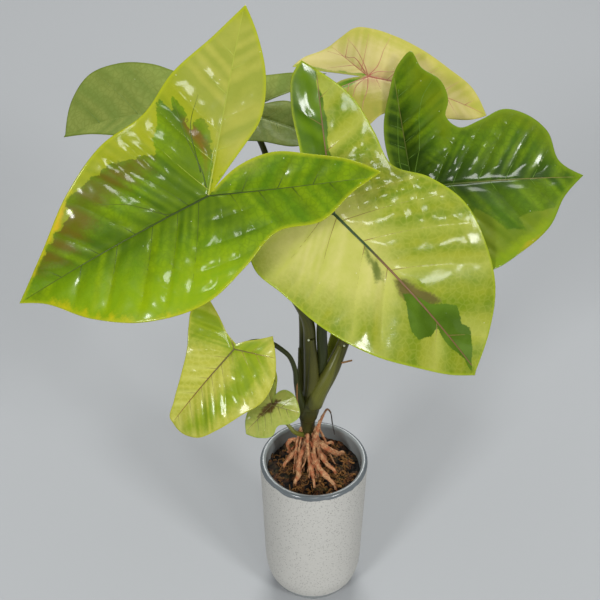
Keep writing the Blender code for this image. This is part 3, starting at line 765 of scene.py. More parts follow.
def tissue_colour(tree, name, look):
    """The colour that the blade's fields give, with the noises it is made from."""
    flat = add(tree, "UVMap", uv_map="flat")
    phase = add(tree, "Attribute", output="Vector", attribute_name="phase")
    share = add(tree, "Attribute", output="Vector", attribute_name="share")
    rim = add(tree, "Attribute", output="Fac", attribute_name="rim")
    streak = add(tree, "Attribute", output="Fac", attribute_name="streak")
    blotch = add(tree, "TexNoise", {"Vector": flat, "Scale": 1 / BLOTCH_SIZE, "Detail": 4.0,
                                    "Roughness": 0.6})
    speckle = add(tree, "TexNoise", {"Vector": flat, "Scale": 1 / SPECKLE_SIZE, "Detail": 3.0,
                                     "Roughness": 0.6})

    folded = add(tree, "VectorMath", {0: phase}, operation="FRACTION")
    folded = add(tree, "VectorMath", {0: folded, 1: (0.5, 0.5, 0.5)}, operation="SUBTRACT")
    folded = add(tree, "VectorMath", {0: folded}, operation="ABSOLUTE")
    nearness = add(tree, "VectorMath", {0: folded, 1: share}, "Value", operation="DOT_PRODUCT")

    marbling = add(tree, "Math", {0: streak, 1: blotch}, operation="ADD")
    marbling = add(tree, "MapRange", {"Value": marbling, "From Min": 0.6, "From Max": 1.35})
    ground, ground_2 = look["ground"]
    colour = add(tree, "Mix", {0: marbling, 6: linear(ground), 7: linear(ground_2)}, 2, data_type="RGBA")
    beside = add(tree, "MapRange", {"Value": nearness, "From Min": 0.22, "From Max": 0.5})
    beside = add(tree, "Math", {0: beside, 1: blotch}, operation="MULTIPLY")
    shoulder, strength = look["shoulder"]
    beside = add(tree, "Math", {0: beside, 1: 2.0 * strength}, operation="MULTIPLY", use_clamp=True)
    colour = add(tree, "Mix", {0: beside, 6: colour, 7: linear(shoulder)}, 2, data_type="RGBA")

    shift = add(tree, "TexNoise", {"Vector": flat, "Scale": 1 / WANDER_SIZE}, 1)
    wander = add(tree, "VectorMath", {0: shift, 1: (NET_WANDER, NET_WANDER, 0.0), 2: flat},
                 operation="MULTIPLY_ADD")
    net = add(tree, "TexVoronoi", {"Vector": wander, "Scale": 1 / NET_SIZE}, "Distance",
              feature="DISTANCE_TO_EDGE")
    net = add(tree, "MapRange", {"Value": net, "From Max": 0.16, "To Min": 1.0, "To Max": 0.0})
    lines = add(tree, "Math", {0: net, 1: look["net"]}, operation="MULTIPLY")
    colour = add(tree, "Mix", {0: lines, 6: colour, 7: linear(look["shoulder"][0])}, 2, data_type="RGBA")

    ragged = add(tree, "Math", {0: streak, 1: speckle}, operation="ADD")
    ragged = add(tree, "Math", {0: ragged, 1: -1.0}, operation="ADD")
    for i, (first, second, soft, rough, _) in enumerate(WASHES[name]):
        inside = add(tree, "Attribute", output="Fac", attribute_name=f"wash_{i}")
        inside = add(tree, "Math", {0: ragged, 1: RAGGED_GAIN * rough, 2: inside}, operation="MULTIPLY_ADD")
        inside = add(tree, "MapRange", {"Value": inside, "From Min": -soft, "From Max": soft},
                     interpolation_type="SMOOTHSTEP")
        tone = add(tree, "Mix", {0: marbling, 6: linear(first), 7: linear(second)}, 2, data_type="RGBA")
        colour = add(tree, "Mix", {0: inside, 6: colour, 7: tone}, 2, data_type="RGBA")

    rim_colour, rim_width = look["rim"]
    edge = add(tree, "Math", {0: speckle, 1: -1.0, 2: rim}, operation="MULTIPLY_ADD")
    edge = add(tree, "MapRange", {"Value": edge, "From Min": -0.3, "From Max": rim_width, "To Min": 0.8,
                                  "To Max": 0.0})
    colour = add(tree, "Mix", {0: edge, 6: colour, 7: linear(rim_colour)}, 2, data_type="RGBA")
    return colour, flat, nearness, blotch, speckle, net


# %% [markdown]
# The upper face has a waxy, wet-looking skin: a smooth cuticle that mirrors the soft boxes, with the
# colour lying under it. So its shader is a dielectric with a clear coat, and grains of dust lie on it.
# The under face is the same tissue without the wax: paler and matt.

# %% Waxed and bare faces
DUST_SPACING = 7.0


def waxed_leaf(name, look):
    """Cuticle-coated leaf tissue, a little rough where the wax is worn, with fine netted relief."""
    finish, tree = new_finish(name + "_waxed")
    colour, flat, nearness, blotch, speckle, net = tissue_colour(tree, name, look)
    dust = add(tree, "TexVoronoi", {"Vector": flat, "Scale": 1 / DUST_SPACING}, "Distance")
    dust = add(tree, "MapRange", {"Value": dust, "From Min": 0.025, "From Max": 0.04, "To Min": 0.7,
                                  "To Max": 0.0})
    colour = add(tree, "Mix", {0: dust, 6: colour, 7: linear("#d8dcc0")}, 2, data_type="RGBA")
    height = add(tree, "Math", {0: net, 1: -0.35, 2: speckle}, operation="MULTIPLY_ADD")
    relief = add(tree, "Bump", {"Height": height, "Strength": 0.45, "Distance": 0.10 * MM})
    rough, coat = look["gloss"]
    gloss = add(tree, "MapRange", {"Value": blotch, "From Min": 0.3, "From Max": 0.7, "To Min": rough,
                                   "To Max": rough + 0.12})
    shader = add(tree, "BsdfPrincipled", {
        "Base Color": colour, "Roughness": gloss, "IOR": 1.4, "Specular IOR Level": 0.15,
        "Coat Weight": coat, "Coat Roughness": 0.12, "Coat IOR": 1.5, "Normal": relief})
    add(tree, "OutputMaterial", {"Surface": shader})
    return finish


def bare_leaf(name, look):
    """The under face: the same tissue, matt and paler."""
    finish, tree = new_finish(name + "_underside")
    colour, _, nearness, blotch, _, _ = tissue_colour(tree, name, look)
    pale = add(tree, "MapRange", {"Value": blotch, "From Min": 0.3, "From Max": 0.7, "To Min": 0.3,
                                  "To Max": 0.5})
    colour = add(tree, "Mix", {0: pale, 6: colour, 7: linear("#a4b06c")}, 2, data_type="RGBA")
    relief = add(tree, "Bump", {"Height": nearness, "Strength": 0.5, "Distance": 0.5 * MM})
    shader = add(tree, "BsdfPrincipled", {"Base Color": colour, "Roughness": 0.55, "Normal": relief})
    add(tree, "OutputMaterial", {"Surface": shader})
    return finish


# %% [markdown]
# Now the seven blades are made, each with its waxed upper face and its bare under face, and each
# stands for its CAD solid.

# %% The seven blades
for leaf_name, leaf_look in LOOKS.items():
    leaf_finishes = [waxed_leaf(leaf_name, leaf_look), bare_leaf(leaf_name, leaf_look)]
    leaf_blade = make_blade(leaf_name, leaf_finishes)

# %% [markdown]
# Veins, stalks and roots are all round things that follow a path, so one function serves them all: a
# circle carried along a smooth run of points, growing and shrinking with the radius given at each
# point. A curve with a bevel would do the same, but here the radius may also change round the circle,
# which gives stalks their groove and roots their knots. The circle's two axes are square to the path
# and come from one fixed direction, the one that the path turns about, so the tube never twists. A
# straight path turns about nothing, so it takes the world axis that lies most across it.

# %% A tube along a path
CAP_HEIGHT = 0.4
STRAIGHTNESS = 0.001


def tube(route, steps, sides, swell=None):
    """Rows of points round a smooth run through (x, y, z, radius), with its two end points and a
    grain field: the place across the tube and the length along it. swell gives the radius as a
    multiple, from the length along the tube and the angle round it."""
    run = smooth_run(route, steps)
    places, radius = run[:, :3], run[:, 3]
    forward = np.gradient(places, axis=0)
    forward /= np.linalg.norm(forward, axis=1)[:, None]
    _, sizes, axes = np.linalg.svd(forward)
    is_straight = sizes[1] < STRAIGHTNESS * sizes[0]
    turning_axis = np.eye(3)[np.abs(forward[0]).round(3).argmin()] if is_straight else axes[-1]
    first = np.cross(forward, turning_axis)
    first /= np.linalg.norm(first, axis=1)[:, None]
    second = np.cross(first, forward)
    angle = np.linspace(0.0, 2 * math.pi, sides, endpoint=False)
    length = np.r_[0.0, np.cumsum(np.linalg.norm(np.diff(places, axis=0), axis=1))]
    size = radius[:, None] * np.ones(sides)
    if swell is not None:
        size = size * swell(length[:, None], angle[None, :])
    x, y = size * np.cos(angle), size * np.sin(angle)
    rows = places[:, None] + x[..., None] * first[:, None] + y[..., None] * second[:, None]
    grain = np.stack([x, y, np.repeat(length[:, None], sides, axis=1)], axis=-1)
    ends = (places[0] - CAP_HEIGHT * radius[0] * forward[0],
            places[-1] + CAP_HEIGHT * radius[-1] * forward[-1])
    return rows, grain, ends


def tubes_piece(name, tubes, finishes, tints):
    """Several tubes as one piece: each a closed skin, numbered on from the last, with its own tint,
    which is one number or a number for each row."""
    all_points, all_faces, all_grain, all_tints = [], [], [], []
    count = 0
    for (rows, grain, ends), tint in zip(tubes, tints):
        points, faces = closed_skin(rows, *ends)
        all_faces += [[corner + count for corner in face] for face in faces]
        all_points.append(points)
        all_grain.append(np.vstack([grain.reshape(-1, 3), grain[0, :1], grain[-1, :1]]))
        tint = np.broadcast_to(np.reshape(tint, (-1, 1)), rows.shape[:2]).ravel()
        all_tints.append(np.r_[tint, tint[0], tint[-1]])
        count += len(points)
    fields = {"grain": np.vstack(all_grain), "tint": np.concatenate(all_tints)}
    return make_piece(name, np.vstack(all_points), all_faces, finishes, fields=fields)


# %% [markdown]
# The veins are cords that lie half sunk in the upper face: a main vein along each rib, thick at the
# stalk and fine at the tip, and side veins that follow whole numbers of the phase. Each path is first
# laid out in the flat frame, cut off before the margin and where another rib's veins take over, and
# then carried onto the quilted face. Their colour fades into the blade as they thin. A few veins of
# the real leaves follow no rule, so they are drawn one by one. Radii are in millimetres, at the
# vein's start and at its end.

# %% The veins
VEIN_STEPS = 30
VEIN_SIDES = 6
RIB_STEPS = 90
RIB_SIDES = 10
RIB_RADII = {"leaf_front_right": (1.15, 0.35), "leaf_lowest": (0.45, 0.15)}
USUAL_RIB_RADII = (0.75, 0.18)
RIB_CHANGE = {"leaf_front_right": (0.22, 0.34), "leaf_back_right": (0.0, 0.2)}
USUAL_RIB_CHANGE = (0.1, 0.8)
SIDE_VEIN_RADII = (0.25, 0.09)
PALE_RIBS = {"leaf_front_left": (2,)}
DRAWN_VEIN_RADII = (0.42, 0.12)
DRAWN_VEINS = {
    "leaf_front_left": (((10, 0), (22, -1), (31, -9), (38, -15), (51, -22)),
                        ((-1, -4), (-3, -13), (-4, -32), (-7, -51)), ((-2, -12), (-8, -34), (-19, -47))),
    "leaf_right": (((-2, 4), (-6, 15), (-6, 37), (-4, 63)), ((2, 8), (6, 25), (8, 50), (16, 64))),
    "leaf_back_right": (((0, 0), (4, 8), (5, 19), (7, 29)), ((0, 0), (-4, 7), (-11, 16), (-19, 23)),
                        ((0, 0), (-5, -9), (-5, -18), (-8, -27)), ((0, 0), (2, -10), (2, -21), (4, -29)),
                        ((0, 0), (5, 4), (14, 6), (26, 13)), ((-2, 2), (-10, 10), (-15, 10), (-28, 11))),
}
DRAWN_POINTS = 40
VEIN_SINK = 0.45
RIB_END = 0.96
RIB_POINTS = 60
BRANCH_SLIMNESS = 0.7
SIDE_VEIN_ZONE = (1.0, 0.9)
SIDE_VEIN_RUN = (0.3, 60.0)
SIDE_VEIN_POINTS = 160
FEWEST_POINTS = 14
POINT_STRIDE = 4
MARGIN_GAP = 2.5
OWN_SHARE = 0.5
VEIN_EDGE_STEP = 3.0
MAIN_TINT = 2.0
PALE_TINT = 4.0


def ray_reach(edge, flat):
    """How far out along its ray each point lies: its distance from the stalk over the outline's."""
    outline_angle = np.arctan2(edge[:, 1], edge[:, 0])
    angle = np.arctan2(flat[:, 1], flat[:, 0])
    return np.hypot(*flat.T) / np.interp(angle, outline_angle, np.hypot(*edge.T), period=2 * math.pi)


def vein_tube(name, edge, flat, radii, steps, sides):
    """A tube over a path in the flat frame, sunk by part of its radius into the upper face."""
    radius = np.linspace(*radii, len(flat))
    relief, _, _ = blade_fields(name, flat, ray_reach(edge, flat))
    lift = relief + LEAF_THICKNESS / 2 - VEIN_SINK * radius
    places = blade_place(LEAVES[name], flat, lift)
    return tube(np.column_stack([places, radius]), steps, sides)


def side_vein_path(name, margin, rib, side, start):
    """One side vein in the flat frame: as it moves away from its rib it leans and curves forward."""
    lean, turning = VEIN_HABIT[name]["lean"]
    direction = math.radians(LEAVES[name]["ribs"][rib][0])
    away = np.linspace(*SIDE_VEIN_RUN, SIDE_VEIN_POINTS)
    along = (start + lean * away + VEIN_CURVE * away**2) / (1 - turning * start)
    forward = np.array([math.cos(direction), math.sin(direction)])
    left = np.array([-math.sin(direction), math.cos(direction)])
    flat = along[:, None] * forward + side * away[:, None] * left
    _, share, _, _ = vein_pattern(name, flat)
    kept = (distance_inside(margin, flat) > MARGIN_GAP) & (share[:, rib] > OWN_SHARE)
    length = len(kept) if kept.all() else int(np.argmin(kept))
    return flat[:length]


def make_veins(name, finish):
    """The ribs and side veins of one blade, and those drawn one by one. A main vein's tint changes
    from the stalk's colour to its own; a side vein's runs from 0 to 1."""
    leaf = LEAVES[name]
    edge = smooth_outline(leaf["outline"], leaf["sharp"], VEIN_EDGE_STEP)
    angle = np.arctan2(edge[:, 1], edge[:, 0])
    fading = np.linspace(0.0, 1.0, VEIN_STEPS)
    change = np.interp(np.linspace(0.0, 1.0, RIB_STEPS), RIB_CHANGE.get(name, USUAL_RIB_CHANGE), (0.0, 1.0))
    tubes, tints = [], []
    for rib, (direction, _) in enumerate(leaf["ribs"]):
        turn = math.radians(direction)
        length = np.interp(turn, angle, np.hypot(*edge.T), period=2 * math.pi)
        reach = np.linspace(0.0, RIB_END * length, RIB_POINTS)[:, None]
        flat = reach * np.array([math.cos(turn), math.sin(turn)])
        radii = np.array(RIB_RADII.get(name, USUAL_RIB_RADII)) * (1.0 if rib == 0 else BRANCH_SLIMNESS)
        tubes.append(vein_tube(name, edge, flat, radii, RIB_STEPS, RIB_SIDES))
        shade = PALE_TINT if rib in PALE_RIBS.get(name, ()) else 0.0
        tints.append(shade + MAIN_TINT + change)
        first, last = SIDE_VEIN_ZONE[0], SIDE_VEIN_ZONE[1] * length
        for side in (1, -1):
            starts = vein_starts(name, rib, side)
            for start in starts[(first < starts) & (starts < last)]:
                flat = side_vein_path(name, edge, rib, side, start)
                if len(flat) >= FEWEST_POINTS:
                    path = flat[::POINT_STRIDE]
                    tubes.append(vein_tube(name, edge, path, SIDE_VEIN_RADII, VEIN_STEPS, VEIN_SIDES))
                    tints.append(shade + fading)
    for drawn in DRAWN_VEINS.get(name, ()):
        flat = smooth_run(drawn, DRAWN_POINTS)
        tubes.append(vein_tube(name, edge, flat, DRAWN_VEIN_RADII, VEIN_STEPS, VEIN_SIDES))
        tints.append(fading)
    return tubes_piece(name + "_veins", tubes, [finish], tints)


# %% [markdown]
# A vein is firm tissue without the blade's wax. One tint, carried by the tubes, says which kind of
# vein a point lies on and how far out, and the graph reads it to choose and blend the colours.

# %% The veins' finish
def vein_tissue(name, look):
    """Vein tissue: firm, smooth and half glossy. A tint from 0 to 1 is a side vein, which fades along
    its length, from 2 to 3 a main vein, which changes from the stalk's colour to its own, and above 4
    a pale vein."""
    finish, tree = new_finish(name + "_vein_tissue")
    tint = add(tree, "Attribute", output="Fac", attribute_name="tint")
    main = add(tree, "Math", {0: tint, 1: -MAIN_TINT}, operation="ADD", use_clamp=True)
    is_main = add(tree, "Math", {0: tint, 1: MAIN_TINT - 0.5}, operation="GREATER_THAN")
    side_vein = add(tree, "Mix", {0: tint, 6: linear(look["vein"][0]), 7: linear(look["vein"][1])}, 2,
                    data_type="RGBA")
    rib = add(tree, "Mix", {0: main, 6: linear(look["rib"][0]), 7: linear(look["rib"][1])}, 2,
              data_type="RGBA")
    colour = add(tree, "Mix", {0: is_main, 6: side_vein, 7: rib}, 2, data_type="RGBA")
    is_pale = add(tree, "Math", {0: tint, 1: PALE_TINT - 0.5}, operation="GREATER_THAN")
    pale = linear(look.get("pale_vein", look["vein"][1]))
    colour = add(tree, "Mix", {0: is_pale, 6: colour, 7: pale}, 2, data_type="RGBA")
    place = add(tree, "TexCoord", output="Object")
    grain = add(tree, "TexNoise", {"Vector": place, "Scale": 1 / (1.2 * MM), "Detail": 3.0})
    relief = add(tree, "Bump", {"Height": grain, "Strength": 0.4, "Distance": 0.1 * MM})
    shader = add(tree, "BsdfPrincipled", {"Base Color": colour, "Roughness": 0.4, "IOR": 1.4,
                                          "Normal": relief})
    add(tree, "OutputMaterial", {"Surface": shader})
    return finish


for leaf_name, leaf_look in LOOKS.items():
    leaf_veins = make_veins(leaf_name, vein_tissue(leaf_name, leaf_look))

# %% [markdown]
# The pot is a small cup turned in stoneware: thrown or jiggered on a wheel, so a profile turned about
# the vertical axis is its true shape. A Screw modifier could turn the profile, but the rows are wanted
# here, so the angle is simply the grid's second parameter. Outside, the clay is bare, pale grey and
# speckled. Inside and over the lip lies a dark, glossy glaze that stopped in an uneven line.

# %% The pot's shape
POT_HEIGHT = 116.0
RIM_RADIUS = 35.0
WALL_TAPER = 3.0 / POT_HEIGHT
WALL = 4.0
POT_FLOOR = 5.0
HEEL_HEIGHT = 28.0
FOOT_RADIUS = 17.5
INNER_FOOT_RADIUS = FOOT_RADIUS - 3.0
POT_SIDES = 192
HEEL_STEPS = 18
WALL_STEPS = 26
LIP_STEPS = 15
WALL_START = HEEL_HEIGHT + 3.0


def wall_radius(height):
    """The pot's outer radius above its heel: a straight cone."""
    return RIM_RADIUS - WALL_TAPER * (POT_HEIGHT - height)


def heel_arc(foot_radius, bottom, inset, steps=HEEL_STEPS):
    """The rounded heel from the wall down to the foot: a quarter of an ellipse."""
    side = wall_radius(HEEL_HEIGHT) - inset
    angle = np.linspace(0.0, math.pi / 2, steps)
    return np.column_stack([foot_radius + (side - foot_radius) * np.cos(angle),
                            HEEL_HEIGHT - (HEEL_HEIGHT - bottom) * np.sin(angle)])


def wall_line(inset, low, high):
    """The straight wall between two heights."""
    height = np.linspace(low, high, WALL_STEPS)
    return np.column_stack([wall_radius(height) - inset, height])


def pot_profile():
    """Radius and height from the inner floor, up inside, over the round lip and down to the foot."""
    lip_height = POT_HEIGHT - WALL / 2
    lip_middle = wall_radius(lip_height) - WALL / 2
    angle = np.linspace(0.0, math.pi, LIP_STEPS)
    lip = np.column_stack([lip_middle - WALL / 2 * np.cos(angle), lip_height + WALL / 2 * np.sin(angle)])
    inner_wall = wall_line(WALL, WALL_START, lip_height - 2.0)
    outer_wall = wall_line(0.0, WALL_START, lip_height - 2.0)
    return np.vstack([heel_arc(INNER_FOOT_RADIUS, POT_FLOOR, WALL)[::-1], inner_wall, lip,
                      outer_wall[::-1], heel_arc(FOOT_RADIUS, 0.0, 0.0)])


def turned(profile, sides):
    """Rows of points that a profile of radius and height sweeps about the vertical axis."""
    angle = np.linspace(0.0, 2 * math.pi, sides, endpoint=False)
    radius, height = profile.T
    return np.stack([radius[:, None] * np.cos(angle), radius[:, None] * np.sin(angle),
                     np.repeat(height[:, None], sides, axis=1)], axis=-1)


print("pot:", len(pot_profile()), "points in its profile")

# %% [markdown]
# Two finishes meet on the pot. The clay's colour is a noise between two greys, with a grid of cells
# whose middles are iron specks, and one small chip near the foot shows the brown body. The glaze
# covers all that lies nearer the axis than the middle of the wall, and the lip down to a line that a
# noise makes uneven; on the inner wall its colour is a lighter grey than on the lip, a painted
# reflection. One mask then mixes colour, roughness and relief.

# %% The pot's finish
GRAIN_SIZE = 0.9
CLOUD_SIZE = 14.0
SPECK_SPACING = 1.5
GLAZE_WANDER_SIZE = 7.0
GLAZE_WANDER = 4.0
GLAZE_REACH = (5.0, 4.5)
CHIP_PLACE = (0.0, -28.0 * MM, 14.0 * MM)
CHIP_RADIUS = (1.3, 1.8)


def speckled_stoneware():
    """Bare stoneware, fired grey and left unglazed: matt, faintly grainy, with iron specks. The glaze
    over the lip is dark and glassy, and it thins to brown along its lower edge; inside the pot the same
    glaze is painted a lighter grey, a painted reflection."""
    finish, tree = new_finish("speckled_stoneware")
    place = add(tree, "TexCoord", output="Object")
    height = add(tree, "SeparateXYZ", {0: place}, 2)
    grain = add(tree, "TexNoise", {"Vector": place, "Scale": 1 / (GRAIN_SIZE * MM), "Detail": 3.0})
    cloud = add(tree, "TexNoise", {"Vector": place, "Scale": 1 / (CLOUD_SIZE * MM), "Detail": 3.0})
    speck = add(tree, "TexVoronoi", {"Vector": place, "Scale": 1 / (SPECK_SPACING * MM)}, "Distance")
    speck = add(tree, "MapRange", {"Value": speck, "From Min": 0.16, "From Max": 0.28, "To Min": 0.75,
                                   "To Max": 0.0})
    clay = add(tree, "Mix", {0: grain, 6: linear("#a3a29d"), 7: linear("#cac9c3")}, 2, data_type="RGBA")
    chip = add(tree, "VectorMath", {0: place, 1: CHIP_PLACE}, "Value", operation="DISTANCE")
    chip = add(tree, "Math", {0: grain, 1: MM, 2: chip}, operation="MULTIPLY_ADD")
    chip = add(tree, "MapRange", {"Value": chip, "From Min": CHIP_RADIUS[0] * MM,
                                  "From Max": CHIP_RADIUS[1] * MM, "To Min": 0.8, "To Max": 0.0})
    for share, tone in ((cloud, "#bdbcb6"), (speck, "#6f6d69"), (chip, "#6e4a2c")):
        clay = add(tree, "Mix", {0: share, 6: clay, 7: linear(tone)}, 2, data_type="RGBA")
    line = add(tree, "TexNoise", {"Vector": place, "Scale": 1 / (GLAZE_WANDER_SIZE * MM), "Detail": 2.0})
    line = add(tree, "Math", {0: line, 1: -GLAZE_WANDER * MM, 2: height}, operation="MULTIPLY_ADD")
    glaze = add(tree, "MapRange", {"Value": line, "From Min": (POT_HEIGHT - GLAZE_REACH[0]) * MM,
                                   "From Max": (POT_HEIGHT - GLAZE_REACH[1]) * MM})
    inside = add(tree, "VectorMath", {0: place, 1: (1.0, 1.0, 0.0)}, operation="MULTIPLY")
    inside = add(tree, "VectorMath", {0: inside}, "Value", operation="LENGTH")
    slope = add(tree, "Math", {0: height, 1: -WALL_TAPER, 2: inside}, operation="MULTIPLY_ADD")
    inner_line = (RIM_RADIUS - WALL_TAPER * POT_HEIGHT - WALL / 2) * MM
    inner = add(tree, "Math", {0: slope, 1: inner_line}, operation="LESS_THAN")
    above = add(tree, "Math", {0: height, 1: (POT_FLOOR - 1) * MM}, operation="GREATER_THAN")
    inner = add(tree, "Math", {0: inner, 1: above}, operation="MULTIPLY")
    glaze = add(tree, "Math", {0: glaze, 1: inner}, operation="MAXIMUM")
    glassy = add(tree, "Mix", {0: cloud, 6: linear("#50565a"), 7: linear("#70777a")}, 2, data_type="RGBA")
    # Painted reflection: the glaze on the inner wall gets a lighter grey than the same glaze on the lip.
    glassy = add(tree, "Mix", {0: inner, 6: glassy, 7: linear("#868c8c")}, 2, data_type="RGBA")
    colour = add(tree, "Mix", {0: glaze, 6: clay, 7: glassy}, 2, data_type="RGBA")
    rough = add(tree, "MapRange", {"Value": glaze, "To Min": 0.72, "To Max": 0.16})
    bump = add(tree, "MapRange", {"Value": glaze, "To Min": 1.0, "To Max": 0.15})
    bump = add(tree, "Math", {0: grain, 1: bump}, operation="MULTIPLY")
    relief = add(tree, "Bump", {"Height": bump, "Strength": 0.6, "Distance": 0.15 * MM})
    shader = add(tree, "BsdfPrincipled", {"Base Color": colour, "Roughness": rough, "Normal": relief})
    add(tree, "OutputMaterial", {"Surface": shader})
    return finish


# %% The pot
pot_rows = turned(pot_profile(), POT_SIDES)
pot_points, pot_faces = closed_skin(pot_rows, (0, 0, POT_FLOOR), (0, 0, 0))
pot = make_piece("stoneware_pot", pot_points, pot_faces, [speckled_stoneware()])
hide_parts("pot")

# %% [markdown]
# The soil is a loose mix of bark and moss, pressed in by hand: an uneven top with lumps, gaps between
# them that its finish darkens with painted shade, and chips lying about. Its body is one closed skin
# that fills the pot. The top is a polar grid lifted by domes, the highest dome at each point winning,
# as where real lumps lie on each other. Bark chips and threads of moss are small bodies strewn over
# it with a seeded draw.

# %% The soil's body
SOIL_TOP = 105.0
SOIL_BUMP = 1.2
TOUCH_GAP = 0.3
STEM_X = -3.5
STEM_Y = 7.0
STEM_RADIUS = 4.2
SOIL_RINGS = 96
SOIL_SIDES = 260
SOIL_HEEL_STEPS = 8
SOIL_EDGE = RIM_RADIUS - WALL_TAPER * (POT_HEIGHT - SOIL_TOP) - WALL - TOUCH_GAP
LUMPS = 190
LUMP_SIZE = (1.6, 4.6)
LUMP_LIFT = (0.6, 2.9)
FINE_LUMP_SIZE = 2.2
FINE_LUMP_LIFT = 0.30


def soil_height(x, y):
    """Height of the soil's top: the CAD top's slow waves, plus lumps, each a dome of its own size."""
    draw = np.random.default_rng(21)
    radius = SOIL_EDGE * np.sqrt(draw.uniform(0.0, 1.0, LUMPS))
    angle = draw.uniform(0.0, 2 * math.pi, LUMPS)
    size = draw.uniform(*LUMP_SIZE, LUMPS)
    lift = draw.uniform(*LUMP_LIFT, LUMPS)
    away = np.hypot(x[..., None] - radius * np.cos(angle), y[..., None] - radius * np.sin(angle)) / size
    domes = (lift * np.sqrt(np.maximum(1 - away**2, 0.0))).max(axis=-1)
    wave = np.sin(0.31 * x + 0.9) * np.cos(0.27 * y) + np.sin(0.19 * x - 0.35 * y)
    fine = FINE_LUMP_LIFT * ripple(np.stack([x, y], axis=-1), FINE_LUMP_SIZE, 22, waves=24)
    return SOIL_TOP - 1.0 + 0.5 * SOIL_BUMP * wave + domes + fine


def soil_rows():
    """From the middle of the top out to the pot's wall, then down inside the pot to its floor."""
    angle = np.linspace(0.0, 2 * math.pi, SOIL_SIDES, endpoint=False)
    reach = np.linspace(0.0, SOIL_EDGE, SOIL_RINGS + 1)[1:, None]
    x, y = reach * np.cos(angle), reach * np.sin(angle)
    top = np.stack([x, y, soil_height(x, y)], axis=-1)
    heel = heel_arc(INNER_FOOT_RADIUS, POT_FLOOR + TOUCH_GAP, WALL + TOUCH_GAP, SOIL_HEEL_STEPS)
    return np.concatenate([top, turned(heel, SOIL_SIDES)])


def bark_and_moss():
    """Potting mix of bark and dried moss: matt, coarse and fibrous, orange-brown on the lumps, with
    painted shade that turns the low gaps between them and the fibres' hollows nearly black."""
    finish, tree = new_finish("bark_and_moss")
    place = add(tree, "TexCoord", output="Object")
    fibres = add(tree, "TexNoise", {"Vector": place, "Scale": 1 / (1.4 * MM), "Detail": 6.0,
                                    "Roughness": 0.7})
    lump = add(tree, "TexVoronoi", {"Vector": place, "Scale": 1 / (3.4 * MM)}, "Color")
    tone = add(tree, "SeparateColor", {0: lump}, 0)
    height = add(tree, "SeparateXYZ", {0: place}, 2)
    # Painted shade: below the lumps' tops, in the gaps between them, the colour turns nearly black.
    low_gap_shade = add(tree, "MapRange", {"Value": height, "From Min": (SOIL_TOP - 0.3) * MM,
                                   "From Max": (SOIL_TOP + 2.0) * MM})
    moss = add(tree, "TexNoise", {"Vector": place, "Scale": 1 / (7 * MM), "Detail": 3.0})
    moss = add(tree, "MapRange", {"Value": moss, "From Min": 0.48, "From Max": 0.62})
    # The fibre noise also drives the bump. Where it is low, in the hollows, the colour goes nearly black:
    # painted shade over the fibres' own tone.
    fibre_tone_and_hollow_shade = add(tree, "MapRange", {"Value": fibres, "From Min": 0.40, "From Max": 0.66})
    colour = add(tree, "Mix", {0: tone, 6: linear("#5a3210"), 7: linear("#a8662a")}, 2, data_type="RGBA")
    colour = add(tree, "Mix", {0: moss, 6: colour, 7: linear("#66591c")}, 2, data_type="RGBA")
    colour = add(tree, "Mix", {0: fibre_tone_and_hollow_shade, 6: linear("#1a0e05"), 7: colour}, 2, data_type="RGBA")
    colour = add(tree, "Mix", {0: low_gap_shade, 6: linear("#0c0703"), 7: colour}, 2, data_type="RGBA")
    relief = add(tree, "Bump", {"Height": fibres, "Strength": 1.0, "Distance": 0.8 * MM})
    shader = add(tree, "BsdfPrincipled", {"Base Color": colour, "Roughness": 0.9, "Normal": relief})
    add(tree, "OutputMaterial", {"Surface": shader})
    return finish


soil_mix = bark_and_moss()
soil_centre = (0, 0, float(soil_height(np.zeros(1), np.zeros(1))[0]))
soil_points, soil_faces = closed_skin(soil_rows(), soil_centre, (0, 0, POT_FLOOR + TOUCH_GAP))
soil = make_piece("potting_mix", soil_points, soil_faces, [soil_mix])
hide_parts("soil")

# %% [markdown]
# Loose on the mix lie chips of bark and curly threads of dried moss. Both are tubes again: a chip is
# a short one pressed flat, a thread a long thin one that wanders about over the lumps.

# %% Bark chips and moss threads
CHIP_COUNT = 70
CHIP_LENGTH = (2.5, 6.5)
BARK_RADIUS = 1.3
CHIP_FLATNESS = 0.35
THREAD_COUNT = 130
THREAD_LENGTH = (5.0, 12.0)
THREAD_RADIUS = 0.32
LOOSE_START_GAP = 5.0
LOOSE_EDGE_GAP = 2.0


def chip_swell(length, angle):
    """The outline of a flat section, as wide as the radius and a third as high."""
    return 1 / np.hypot(np.cos(angle) / CHIP_FLATNESS, np.sin(angle))


def resting_route(draw, steps, length, radius, wander, lift):
    """A path over the soil: it starts at a random place, keeps a heading that wanders, and rests on
    the lumps, a little above or below them."""
    reach = (SOIL_EDGE - LOOSE_START_GAP) * math.sqrt(draw.uniform())
    angle, heading = draw.uniform(0.0, 2 * math.pi, 2)
    headings = heading + wander * draw.normal(size=steps).cumsum()
    x = reach * math.cos(angle) + length / steps * np.cos(headings).cumsum()
    y = reach * math.sin(angle) + length / steps * np.sin(headings).cumsum()
    away = np.hypot(x, y)
    pull = np.minimum(1.0, (SOIL_EDGE - LOOSE_EDGE_GAP) / away)
    x, y = x * pull, y * pull
    z = soil_height(x, y).mean() + lift * draw.uniform(-0.3, 1.0, steps)
    thickness = radius * draw.uniform(0.6, 1.0, steps)
    return np.column_stack([x, y, z, thickness])


